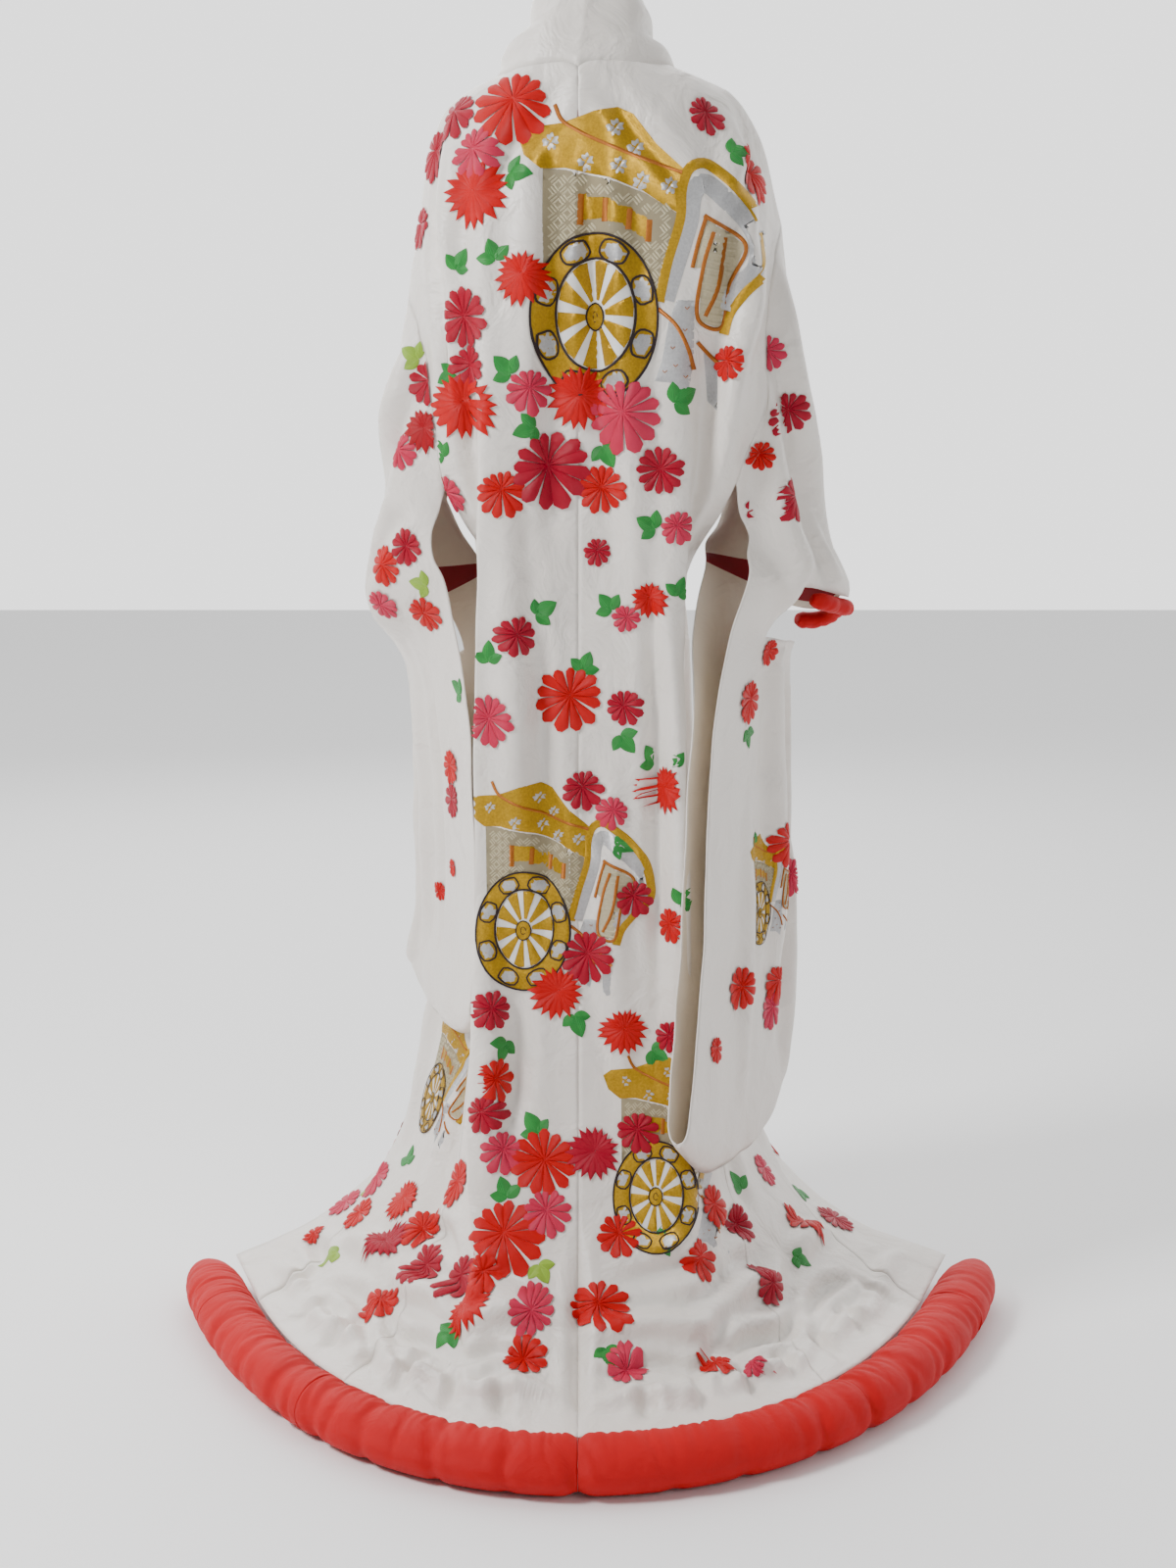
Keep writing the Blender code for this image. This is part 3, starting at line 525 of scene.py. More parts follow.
outward = shared_outward()

# Creases: panel, half width and height in millimetres, and the line each one follows as
# (key row, key column) points. Troughs are negative. Body rows count from the back hem over the shoulder.
CREASES = (
    # The column of the back, uneven lengthwise folds.
    ("body_right", 14, 9.5, ((12.6, 0.30), (11.5, 0.34), (10.2, 0.42), (9.0, 0.46))),
    ("body_right", 10, -7.1, ((12.2, 0.12), (11.0, 0.16), (10.0, 0.20))),
    ("body_right", 13, 14.2, ((9.2, 0.72), (8.0, 0.78), (7.0, 0.80), (6.0, 0.80), (5.0, 0.78), (4.0, 0.74))),
    ("body_right", 10, -11.9, ((9.0, 0.58), (8.0, 0.62), (7.0, 0.64), (6.0, 0.64), (5.2, 0.62))),
    ("body_right", 14, 8.2, ((7.6, 0.30), (6.6, 0.26), (5.4, 0.28), (4.2, 0.34))),
    ("body_left", 14, 8.2, ((12.8, 0.55), (11.8, 0.50), (10.6, 0.52))),
    ("body_left", 11, -7.1, ((11.6, 0.28), (10.4, 0.25), (9.4, 0.22))),
    ("body_left", 14, 9.5, ((9.6, 0.62), (8.6, 0.55), (7.5, 0.52), (6.5, 0.55))),
    ("body_left", 11, -8.2, ((8.8, 0.32), (7.8, 0.28), (6.6, 0.25), (5.6, 0.28))),
    ("body_left", 15, 11.9, ((6.2, 0.80), (5.2, 0.76), (4.2, 0.72), (3.4, 0.70))),
    ("body_left", 12, -9.5, ((5.4, 0.45), (4.5, 0.46), (3.7, 0.50))),
    # Under the neck, and over the shoulders.
    ("body_left", 12, -6.6, ((12.9, 0.20), (12.6, 0.60), (12.3, 1.20))),
    ("body_right", 12, -6.6, ((12.9, 0.25), (12.55, 0.70), (12.3, 1.30))),
    ("body_left", 14, 8.2, ((14.0, 1.6), (13.0, 2.2), (12.2, 2.6))),
    ("body_left", 11, -9.5, ((13.6, 2.6), (12.6, 2.9), (11.6, 3.0), (10.8, 3.1))),
    ("body_right", 16, 11.9, ((14.2, 1.8), (13.2, 2.4), (12.4, 2.8), (11.6, 3.1))),
    ("body_right", 11, -11.9, ((13.8, 2.9), (12.9, 2.7), (12.0, 2.45), (11.2, 2.3))),
    ("body_right", 13, 11.9, ((13.0, 3.5), (12.0, 3.2), (11.2, 2.9), (10.4, 2.9))),
    # The front: long folds on each side, less regular towards the hem.
    ("body_left", 14, 11.9, ((18.4, 1.2), (20.0, 1.3), (22.0, 1.4), (24.0, 1.6), (25.6, 1.7))),
    ("body_left", 12, -10.6, ((19.4, 2.2), (21.0, 2.3), (23.0, 2.4), (25.0, 2.5), (26.8, 2.6))),
    ("body_left", 18, 11.9, ((22.8, 0.6), (24.2, 0.5), (25.6, 0.6), (27.0, 0.7))),
    ("body_left", 15, -14.2, ((24.6, 3.2), (25.8, 3.2), (27.0, 3.3), (28.0, 3.3))),
    ("body_right", 14, 11.9, ((18.0, 1.0), (19.6, 1.2), (21.6, 1.2), (23.4, 1.4), (25.0, 1.4))),
    ("body_right", 12, -10.6, ((19.8, 2.0), (21.8, 2.1), (23.8, 2.2), (25.8, 2.3))),
    ("body_right", 18, 13.0, ((23.0, 0.4), (24.6, 0.6), (26.0, 0.5), (27.2, 0.6))),
    ("body_right", 15, -14.2, ((24.8, 3.0), (26.0, 3.1), (27.4, 3.1))),
    # The hanging sleeves: long folds down the bag, sagging ones under the arm.
    ("sleeve_left", 13, 9.5, ((4.6, 0.30), (5.6, 0.28), (6.8, 0.27), (8.0, 0.30), (8.8, 0.31))),
    ("sleeve_left", 10, -9.5, ((5.0, 0.18), (6.0, 0.17), (7.2, 0.16), (8.6, 0.18))),
    ("sleeve_left", 12, 8.2, ((6.0, 0.40), (7.4, 0.41), (9.0, 0.40), (9.6, 0.40))),
    ("sleeve_left", 11, -9.5, ((0.6, 0.20), (1.6, 0.30), (2.4, 0.38), (3.2, 0.42))),
    ("sleeve_left", 13, 10.6, ((0.3, 0.30), (1.4, 0.40), (2.6, 0.47))),
    ("sleeve_left", 10, -8.2, ((2.6, 0.14), (3.2, 0.26), (3.8, 0.36))),
    ("sleeve_left", 13, 9.5, ((4.8, 0.68), (6.0, 0.70), (7.6, 0.72), (8.8, 0.70))),
    ("sleeve_left", 10, -9.5, ((5.4, 0.82), (6.8, 0.83), (8.4, 0.82))),
    ("sleeve_right", 15, 14.2, ((0.4, 0.16), (1.4, 0.15), (2.6, 0.14), (3.6, 0.16), (4.4, 0.14))),
    ("sleeve_right", 12, -14.2, ((0.6, 0.24), (1.8, 0.26), (2.8, 0.28), (3.8, 0.26))),
    ("sleeve_right", 14, 11.9, ((0.2, 0.34), (1.2, 0.38), (2.2, 0.44), (3.2, 0.46))),
    ("sleeve_right", 11, -10.6, ((1.8, 0.36), (2.8, 0.39), (3.7, 0.40))),
    ("sleeve_right", 14, 11.9, ((4.4, 0.24), (5.4, 0.25), (6.6, 0.27), (7.8, 0.28), (8.8, 0.28))),
    ("sleeve_right", 11, -11.9, ((4.8, 0.34), (6.0, 0.36), (7.4, 0.36), (8.6, 0.34))),
    ("sleeve_right", 12, 8.2, ((6.8, 0.14), (8.0, 0.15), (9.2, 0.16))),
    ("sleeve_right", 13, 9.5, ((7.4, 0.42), (8.6, 0.42), (9.6, 0.41))),
    ("sleeve_right", 14, 11.9, ((4.8, 0.72), (6.2, 0.70), (7.8, 0.71), (9.0, 0.72))),
    ("sleeve_right", 11, -11.9, ((5.2, 0.84), (6.6, 0.83), (8.2, 0.84))),
    # The collar: the fold where it turns at the back of the neck, and its slack.
    ("collar", 9, -7.1, ((6.2, 0.75), (7.2, 0.68), (8.0, 0.72), (9.0, 0.60), (10.0, 0.66), (11.0, 0.55))),
    ("collar", 8, 6.0, ((6.8, 0.40), (7.8, 0.34), (8.8, 0.38))),
    ("collar", 9, -8.2, ((10.6, 0.36), (11.6, 0.48), (12.6, 0.56))),
)

# Creases of the train: side, half width, height in millimetres, and (arc from the centre back, key rows
# in from the hem) points. Most run along the hem, some stand out from the roll's pinches.
TRAIN_CREASES = (
    ("left", 11, 13.8, ((0.02, 0.75), (0.07, 0.95), (0.12, 0.70), (0.17, 0.80))),
    ("left", 9, -13.8, ((0.03, 1.30), (0.09, 1.50), (0.15, 1.25), (0.20, 1.35))),
    ("left", 12, 13.8, ((0.00, 1.90), (0.06, 2.15), (0.13, 1.85), (0.19, 2.00))),
    ("left", 10, -11.5, ((0.05, 2.55), (0.12, 2.50), (0.18, 2.70))),
    ("left", 9, 14.9, ((0.16, 0.45), (0.21, 0.70), (0.27, 0.55), (0.33, 0.75))),
    ("left", 9, -14.9, ((0.19, 1.05), (0.25, 1.20), (0.31, 1.05), (0.37, 1.25))),
    ("left", 12, 16.1, ((0.20, 1.70), (0.27, 1.85), (0.34, 1.65), (0.40, 1.80))),
    ("left", 10, -11.5, ((0.25, 2.40), (0.32, 2.45), (0.38, 2.30))),
    ("left", 10, 13.8, ((0.34, 0.40), (0.40, 0.65), (0.46, 0.50), (0.52, 0.70))),
    ("left", 9, -13.8, ((0.38, 0.95), (0.44, 1.15), (0.51, 1.00))),
    ("left", 12, 13.8, ((0.42, 1.60), (0.49, 1.75), (0.56, 1.55))),
    ("left", 9, 11.5, ((0.53, 0.50), (0.60, 0.60), (0.67, 0.45))),
    ("left", 9, -11.5, ((0.56, 1.00), (0.63, 1.10), (0.70, 0.95))),
    ("left", 8, -13.8, ((0.085, 0.05), (0.088, 0.55), (0.083, 1.00))),
    ("left", 8, -13.8, ((0.175, 0.05), (0.165, 0.50), (0.160, 0.95))),
    ("left", 8, -16.1, ((0.260, 0.05), (0.255, 0.50), (0.245, 1.10))),
    ("left", 8, -11.5, ((0.330, 0.05), (0.330, 0.45), (0.320, 0.80))),
    ("left", 8, -13.8, ((0.415, 0.05), (0.410, 0.50), (0.400, 0.95))),
    ("left", 8, -11.5, ((0.500, 0.05), (0.495, 0.45), (0.480, 0.85))),
    ("left", 8, -11.5, ((0.590, 0.05), (0.590, 0.50), (0.585, 0.90))),
    ("right", 11, 14.9, ((0.02, 0.65), (0.07, 0.80), (0.13, 0.60), (0.18, 0.80))),
    ("right", 9, -13.8, ((0.02, 1.15), (0.08, 1.35), (0.14, 1.15), (0.20, 1.30))),
    ("right", 12, 16.1, ((0.00, 1.75), (0.07, 1.90), (0.14, 1.75), (0.21, 1.95))),
    ("right", 10, -11.5, ((0.04, 2.40), (0.10, 2.55), (0.17, 2.45))),
    ("right", 9, 13.8, ((0.18, 0.50), (0.24, 0.70), (0.30, 0.50), (0.36, 0.65))),
    ("right", 9, -16.1, ((0.20, 1.10), (0.26, 1.25), (0.33, 1.05), (0.39, 1.20))),
    ("right", 13, 16.1, ((0.22, 1.80), (0.29, 1.95), (0.36, 1.70), (0.42, 1.85))),
    ("right", 10, -11.5, ((0.24, 2.50), (0.31, 2.60), (0.37, 2.40))),
    ("right", 10, 13.8, ((0.38, 0.45), (0.45, 0.60), (0.51, 0.45), (0.57, 0.60))),
    ("right", 9, -13.8, ((0.40, 1.00), (0.47, 1.15), (0.54, 0.95))),
    ("right", 12, 13.8, ((0.45, 1.65), (0.52, 1.75), (0.60, 1.60))),
    ("right", 9, 11.5, ((0.58, 0.45), (0.65, 0.60), (0.71, 0.50))),
    ("right", 8, -13.8, ((0.070, 0.05), (0.075, 0.50), (0.072, 0.95))),
    ("right", 8, -13.8, ((0.150, 0.05), (0.148, 0.55), (0.140, 1.00))),
    ("right", 8, -16.1, ((0.235, 0.05), (0.228, 0.50), (0.220, 1.05))),
    ("right", 8, -13.8, ((0.305, 0.05), (0.300, 0.45), (0.290, 0.90))),
    ("right", 8, -11.5, ((0.390, 0.05), (0.385, 0.50), (0.375, 0.90))),
    ("right", 8, -13.8, ((0.470, 0.05), (0.465, 0.50), (0.455, 0.85))),
    ("right", 8, -11.5, ((0.560, 0.05), (0.555, 0.45), (0.550, 0.80))),
    ("left", 8, -11.5, ((0.0, 0.1), (0.0, 1.0), (0.0, 2.0), (0.0, 2.9))),
)


BODY_KEY_ROWS = 30
OKUMI_KEY_ROWS = 11


def train_point(side, arc, row):
    """Place and outward direction on the train, arc metres round the hem, key rows in from it."""
    if arc <= HEM_ARC["side"]:
        column = np.interp(arc, [HEM_ARC[k] for k in ("centre", "column", "root", "drape", "side")], range(5))
        return panel_point("body_" + side, row, column)
    if arc <= HEM_ARC["okumi_seam"]:
        marks = [HEM_ARC[k] for k in ("side", "front_drape", "front_middle", "front_inner", "okumi_seam")]
        return panel_point("body_" + side, BODY_KEY_ROWS - row, 4 - np.interp(arc, marks, range(5)))
    share = (arc - HEM_ARC["okumi_seam"]) / (HEM_ARC["edge"] - HEM_ARC["okumi_seam"])
    return panel_point("okumi_" + side, OKUMI_KEY_ROWS - row, share)


def crease_lines():
    """Every crease as its half width and height in metres, and its (place, outward direction) spots."""
    lines = []
    for name, width, depth, path in CREASES:
        spots = [panel_point(name, row, column) for row, column in path]
        lines.append((width / 1000, depth / 1000, spots))
    for side, width, depth, path in TRAIN_CREASES:
        lines.append((width / 1000, depth / 1000, [train_point(side, arc, row) for arc, row in path]))
    return lines


# A crease's ridge has a shallow trough on each flank: its depth as a share of the ridge, and its
# distance and width in half widths of the crease, which fades out at the given reach.
FLANK_DEPTH = 0.35
FLANK_AWAY = 1.6
FLANK_WIDTH = 0.8
CREASE_REACH = 3


def crease_height(points, normals, lines):
    """How far the creases move each point along its outward direction."""
    height = np.zeros(len(points))
    for width, depth, spots in lines:
        places = refine([spot[0] for spot in spots], 4)
        facing = refine([spot[1] for spot in spots], 4)
        low = places.min(axis=0) - CREASE_REACH * width
        high = places.max(axis=0) + CREASE_REACH * width
        near = np.nonzero(((points > low) & (points < high)).all(axis=1))[0]
        if not len(near):
            continue
        here = points[near]
        best = np.full(len(near), 1e9)
        run = np.zeros(len(near))
        side = np.zeros((len(near), 3))
        for i in range(len(places) - 1):
            start, step = places[i], places[i + 1] - places[i]
            share = np.clip(((here - start) @ step) / max(step @ step, 1e-12), 0.0, 1.0)
            away = np.linalg.norm(here - start - share[:, None] * step, axis=1)
            closer = away < best
            best[closer] = away[closer]
            run[closer] = (i + share[closer]) / (len(places) - 1)
            side[closer] = facing[i]
        fade = np.sin(np.pi * np.clip(run * 0.94 + 0.03, 0, 1)) ** 0.7
        width_here = width * (0.75 + 0.5 * fade)
        away = best / width_here
        profile = np.exp(-away ** 2) - FLANK_DEPTH * np.exp(-((away - FLANK_AWAY) / FLANK_WIDTH) ** 2)
        same = np.clip((normals[near] * side).sum(axis=1), 0.0, 1.0) ** 2
        height[near] += depth * profile * fade * same
    return height


SOFT_SLACK = 0.0045
FINE_SLACK = 0.0020


def slack_height(point):
    """Small unevenness of the whole cloth: long soft waves, and a finer one."""
    soft = noise.noise(Vector((point[0] * 9, point[1] * 9, point[2] * 5 + 7)))
    fine = noise.noise(Vector((point[0] * 28 + 3, point[1] * 28, point[2] * 17)))
    return SOFT_SLACK * soft + FINE_SLACK * fine


HELD_HEIGHT = 0.012


def near_hem(points):
    """0 at the hem seam, 1 from a little above it: the roll holds the cloth still at the seam."""
    rise = np.clip((points[:, 2] + NECK_HEIGHT - HEM_SEAM_HEIGHT) / HELD_HEIGHT, 0.0, 1.0)
    return rise * rise * (3 - 2 * rise)


lines = crease_lines()
for name, grid in grids.items():
    flat = grid.reshape(-1, 3)
    facing = outward[name].reshape(-1, 3)
    slack = np.array([slack_height(p) for p in flat])
    height = crease_height(flat, facing, lines) + slack
    grids[name] = (flat + facing * (height * near_hem(flat))[:, None]).reshape(grid.shape)
outward = shared_outward()


# Finishes. The weave group is a twill of fine slanting ribs on the panel's own measure in metres.
def weave_group():
    group = bpy.data.node_groups.new("weave", "ShaderNodeTree")
    group.interface.new_socket("Vector", in_out="INPUT", socket_type="NodeSocketVector")
    group.interface.new_socket("Ribs", in_out="INPUT", socket_type="NodeSocketFloat")
    group.interface.new_socket("Slant", in_out="INPUT", socket_type="NodeSocketFloat")
    group.interface.new_socket("Height", in_out="OUTPUT", socket_type="NodeSocketFloat")
    nodes, links = group.nodes, group.links
    source = nodes.new("NodeGroupInput")
    result = nodes.new("NodeGroupOutput")
    turn = nodes.new("ShaderNodeVectorRotate")
    turn.rotation_type = "Z_AXIS"
    links.new(source.outputs["Vector"], turn.inputs["Vector"])
    links.new(source.outputs["Slant"], turn.inputs["Angle"])
    wave = nodes.new("ShaderNodeTexWave")
    wave.inputs["Distortion"].default_value = 1.2
    wave.inputs["Detail"].default_value = 1.0
    links.new(turn.outputs["Vector"], wave.inputs["Vector"])
    links.new(source.outputs["Ribs"], wave.inputs["Scale"])
    links.new(wave.outputs["Fac"], result.inputs["Height"])
    return group


weave = weave_group()


SHEEN_ROUGHNESS = 0.4
RIB_HEIGHT = 0.0004


def cloth_material(name, colour, shade, roughness, ribs, slant, bump, sheen, metallic=0.0, wrinkle=0.0,
                   tone_and_glint_scale=14.0, specular=0.5):
    """Cloth or thread: two shades in soft patches, a rib bump, and soft small wrinkles. On cloth the shades
    are close and the patches broad; on metal thread they lie far apart in fine patches, which are painted
    glints.
    """
    material = bpy.data.materials.new(name)
    material.use_nodes = True
    nodes, links = material.node_tree.nodes, material.node_tree.links
    shader = nodes["Principled BSDF"]
    shader.inputs["Roughness"].default_value = roughness
    shader.inputs["Metallic"].default_value = metallic
    shader.inputs["Sheen Weight"].default_value = sheen
    shader.inputs["Sheen Roughness"].default_value = SHEEN_ROUGHNESS
    shader.inputs["Sheen Tint"].default_value = (*colour, 1.0)
    shader.inputs["Specular IOR Level"].default_value = specular
    uv = nodes.new("ShaderNodeUVMap")
    uv.uv_map = "measure"
    ribs_node = nodes.new("ShaderNodeGroup")
    ribs_node.node_tree = weave
    ribs_node.inputs["Ribs"].default_value = ribs
    ribs_node.inputs["Slant"].default_value = slant
    links.new(uv.outputs["UV"], ribs_node.inputs["Vector"])
    place_node = nodes.new("ShaderNodeTexCoord")
    # Patches of the two shades. On metal thread they are fine, painted glints of bright and dark; on cloth
    # they are broad soft patches of close shades.
    patches = nodes.new("ShaderNodeTexNoise")
    patches.inputs["Scale"].default_value = tone_and_glint_scale
    patches.inputs["Detail"].default_value = 3.0
    links.new(place_node.outputs["Object"], patches.inputs["Vector"])
    mix = nodes.new("ShaderNodeMix")
    mix.data_type = "RGBA"
    mix.inputs["A"].default_value = (*colour, 1.0)
    mix.inputs["B"].default_value = (*shade, 1.0)
    links.new(patches.outputs["Fac"], mix.inputs["Factor"])
    links.new(mix.outputs["Result"], shader.inputs["Base Color"])
    bump_node = nodes.new("ShaderNodeBump")
    bump_node.inputs["Strength"].default_value = bump
    bump_node.inputs["Distance"].default_value = RIB_HEIGHT
    links.new(ribs_node.outputs["Height"], bump_node.inputs["Height"])
    if wrinkle:
        folds = nodes.new("ShaderNodeTexNoise")
        folds.inputs["Scale"].default_value = 20.0
        folds.inputs["Detail"].default_value = 4.0
        folds.inputs["Roughness"].default_value = 0.55
        folds.inputs["Distortion"].default_value = 0.6
        links.new(place_node.outputs["Object"], folds.inputs["Vector"])
        soft = nodes.new("ShaderNodeBump")
        soft.inputs["Strength"].default_value = 1.0
        soft.inputs["Distance"].default_value = wrinkle
        links.new(folds.outputs["Fac"], soft.inputs["Height"])
        links.new(soft.outputs["Normal"], bump_node.inputs["Normal"])
    links.new(bump_node.outputs["Normal"], shader.inputs["Normal"])
    return material


satin = cloth_material("satin", (0.80, 0.76, 0.71), (0.76, 0.705, 0.65), roughness=0.36, ribs=900,
                       slant=0.8, bump=0.15, sheen=0.25, wrinkle=0.007)
lining_red = cloth_material("lining_red", (0.28, 0.004, 0.012), (0.20, 0.003, 0.01), roughness=0.6, ribs=700,
                            slant=0.0, bump=0.3, sheen=0.3, wrinkle=0.003)
lining_cream = cloth_material("lining_cream", (0.80, 0.72, 0.60), (0.72, 0.62, 0.50), roughness=0.6, ribs=700,
                              slant=0.0, bump=0.3, sheen=0.3, wrinkle=0.003)
red_silk = cloth_material("red_silk", (0.56, 0.002, 0.006), (0.42, 0.001, 0.003), roughness=0.6, ribs=600,
                          slant=0.0, bump=0.4, sheen=0.15, wrinkle=0.004, specular=0.2)


# The panels as thin shells of heavy satin. The body is lined in deep red silk, the sleeves in cream, with
# a red facing along the cuff opening's upper edge. The collar is satin on both sides.
CLOTH_HALF = 0.0007


def measure_uv(grid):
    """Each point's place on the flat panel, in metres across and down."""
    across = np.concatenate([np.zeros((grid.shape[0], 1)),
                             np.cumsum(np.linalg.norm(np.diff(grid, axis=1), axis=2), axis=1)], axis=1)
    down = np.concatenate([np.zeros((1, grid.shape[1])),
                           np.cumsum(np.linalg.norm(np.diff(grid, axis=0), axis=2), axis=0)], axis=0)
    return np.stack([across, np.broadcast_to(down.mean(axis=1, keepdims=True), down.shape)], axis=2)


def mesh_object(name, vertices, faces, uv):
    """A smooth piece with its measure in metres, given for each vertex."""
    mesh = bpy.data.meshes.new(name)
    mesh.from_pydata([tuple(v) for v in vertices], [], [tuple(int(i) for i in f) for f in faces])
    layer = mesh.uv_layers.new(name="measure")
    corner = np.empty(len(mesh.loops), dtype=np.int32)
    mesh.loops.foreach_get("vertex_index", corner)
    layer.data.foreach_set("uv", np.asarray(uv, np.float32)[corner].reshape(-1))
    mesh.shade_smooth()
    piece = bpy.data.objects.new(name, mesh)
    bpy.context.scene.collection.objects.link(piece)
    return piece


def cloth_panel(name, lining, red_rows=()):
    """A shell of satin and lining round a panel's grid. Some rows of a sleeve are lined in red."""
    grid = grids[name]
    points = grid.reshape(-1, 3)
    facing = outward[name].reshape(-1, 3)
    used, quads = np.unique(cells[name], return_inverse=True)
    quads = quads.reshape(-1, 4)
    row_of = cells[name][:, 0] // grid.shape[1]
    count = len(used)
    edges = {(int(a), int(b)): True for quad in quads for a, b in zip(quad, np.roll(quad, -1))}
    rim = [(b, a, a + count, b + count) for a, b in edges if (b, a) not in edges]
    half = facing[used] * CLOTH_HALF
    faces = list(quads) + list(quads[:, ::-1] + count) + rim
    measure = measure_uv(grid).reshape(-1, 2)[used]
    piece = mesh_object(name + "_cloth", np.concatenate([points[used] + half, points[used] - half]), faces,
                        np.concatenate([measure, measure]))
    for material in (satin, lining) + ((lining_red,) if red_rows else ()):
        piece.data.materials.append(material)
    finish = np.zeros(len(faces), np.int32)
    finish[len(quads):2 * len(quads)] = np.where(np.isin(row_of, red_rows), 2, 1)
    piece.data.polygons.foreach_set("material_index", finish)
    piece.data.update()
    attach(piece, "root")
    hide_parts(name)
    return piece


for side in SIDES:
    cloth_panel("body_" + side, lining_red)
    cloth_panel("okumi_" + side, lining_red)
FACING_ROWS = 4
RED_ROWS = tuple(range(OPEN_TOP - FACING_ROWS, OPEN_TOP))
cloth_panel("sleeve_left", lining_cream, RED_ROWS)
cloth_panel("sleeve_right", lining_cream, RED_ROWS)
cloth_panel("collar", satin)


# The hem roll: tubes of soft red silk filled with wadding and stitched on under the hem, one to a panel.
# The silk puckers along the stitching, and is drawn in where the wadding is pinched.
ROLL_HEIGHT = 0.055
ROLL_HALF = ROLL_WIDTH / 2
ROLL_SIDES = 44
ROLL_STEP = 0.0025
ROLL_GAP = 0.0002
TIP_TAPER = 0.22
TIP_LENGTH = 0.004
TIP_RINGS = (0.35, 0.65, 0.85, 0.97)
# Arc, depth in millimetres and half width in millimetres of the pinches that show in the outline.
PINCHES = {
    "left": ((0.000, 5, 9), (0.072, 2, 7), (0.148, 3, 8), (0.235, 3, 8), (0.305, 4, 8), (0.375, 4, 9),
             (0.455, 3, 8), (0.540, 3, 9), (0.640, 2, 8)),
    "right": ((0.000, 5, 9), (0.095, 2, 8), (0.170, 3, 8), (0.262, 4, 8), (0.335, 5, 9), (0.405, 4, 8),
              (0.480, 4, 9), (0.570, 3, 8), (0.660, 2, 8)),
}


def pucker_list(seed, length):
    """Small gathers along a roll: arc, half width, depth, where round the roll they sit, and slant."""
    chance = random.Random(seed)
    result = []
    arc = 0.004
    while arc < length:
        result.append((arc, chance.uniform(0.0018, 0.0040), chance.uniform(0.0012, 0.0034),
                       chance.gauss(math.radians(140), 0.25), chance.uniform(-0.006, 0.006)))
        arc += chance.uniform(0.006, 0.015)
    arc = 0.01
    while arc < length:
        result.append((arc, chance.uniform(0.004, 0.008), chance.uniform(0.001, 0.0028),
                       chance.gauss(math.radians(40), 0.5), chance.uniform(-0.012, 0.012)))
        arc += chance.uniform(0.02, 0.045)
    return np.array(result)


def drawn_in(arc, turn, puckers, reach=0.9):
    """How far the gathers draw the roll's surface in at each turn."""
    depth = np.zeros_like(turn)
    for at, width, deep, centre, slant in puckers[np.abs(puckers[:, 0] - arc) < 0.03]:
        away = (turn - centre + math.pi) % (2 * math.pi) - math.pi
        depth += deep * np.exp(-((arc - at - slant * away) / width) ** 2) * np.exp(-(away / reach) ** 2)
    return depth


def tube_object(name, rings, material):
    """A closed tube through rings of points, with its own measure round and along."""
    count, sides = rings.shape[:2]
    ends = np.array([rings[0].mean(axis=0), rings[-1].mean(axis=0)])
    vertices = np.concatenate([rings.reshape(-1, 3), ends])
    faces = []
    for r in range(count - 1):
        for i in range(sides):
            j = (i + 1) % sides
            faces.append((r * sides + i, r * sides + j, (r + 1) * sides + j, (r + 1) * sides + i))
    first, last = count * sides, count * sides + 1
    for i in range(sides):
        j = (i + 1) % sides
        faces.append((j, i, first))
        faces.append(((count - 1) * sides + i, (count - 1) * sides + j, last))
    a, b, c = (vertices[[face[k] for face in faces]] for k in range(3))
    if (a * np.cross(b, c)).sum() < 0:
        faces = [face[::-1] for face in faces]
    along = np.concatenate([[0], np.cumsum(np.linalg.norm(np.diff(rings.mean(axis=1), axis=0), axis=1))])
    around = np.linalg.norm(rings[:, 1] - rings[:, 0], axis=1).mean() * np.arange(sides)
    uv = np.stack(np.broadcast_arrays(around[None, :], along[:, None]), axis=2).reshape(-1, 2)
    piece = mesh_object(name, vertices, faces, np.concatenate([uv, [[0, 0]], [[0, along[-1]]]]))
    piece.data.materials.append(material)
    return piece


def hem_roll(name, side, start, end, tapered):
    """A length of the hem roll between two marks. The okumi's tapers to a rounded tip."""
    puckers = pucker_list(name + side, HEM_ARC["edge"])
    rings = []
    steps = int((end - start) / ROLL_STEP)
    for s in range(steps + 1):
        arc = start + ROLL_GAP + (end - start - 2 * ROLL_GAP) * s / steps
        outer = np.array(hem_point(side, arc, 0.0))
        inner = np.array(hem_point(side, arc, ROLL_WIDTH))
        size = 1.0 - (1.0 - TIP_TAPER) * (s / steps) ** 4 if tapered else 1.0
        turn = 2 * np.pi * (np.arange(ROLL_SIDES) + 0.5) / ROLL_SIDES
        reach = np.ones(ROLL_SIDES)
        for at, depth, width in PINCHES[side]:
            reach -= depth / 1000 / ROLL_HALF * math.exp(-((arc - at) / width * 1000) ** 2)
        reach -= drawn_in(arc, turn, puckers) / ROLL_HALF * size
        plan = (outer + inner) / 2 + (outer - inner)[None] / 2 * (np.cos(turn) * size * reach)[:, None]
        lift = np.maximum(ROLL_HEIGHT / 2 * (1 + size * reach * np.sin(turn) * 1.05), 0.0005)
        rings.append(np.concatenate([plan, (lift - NECK_HEIGHT)[:, None]], axis=1))
    if tapered:
        middle = rings[-1].mean(axis=0)
        ahead = (rings[-1].mean(axis=0) - rings[-2].mean(axis=0)) / ROLL_STEP
        for share in TIP_RINGS:
            width = math.sqrt(1 - share ** 2)
            rings.append(middle + (rings[steps] - middle) * width + ahead * share * TIP_LENGTH)
    return tube_object(name + "_silk", np.array(rings), red_silk)


for side in SIDES:
    marks = (0.0, HEM_ARC["side"], HEM_ARC["okumi_seam"], HEM_ARC["edge"])
    for panel, start, end in zip(("back", "front", "okumi"), marks, marks[1:]):
        roll = hem_roll(f"hem_roll_{panel}_{side}", side, start, end, panel == "okumi")
        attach(roll, "root")
        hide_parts(f"hem_roll_{panel}_{side}")


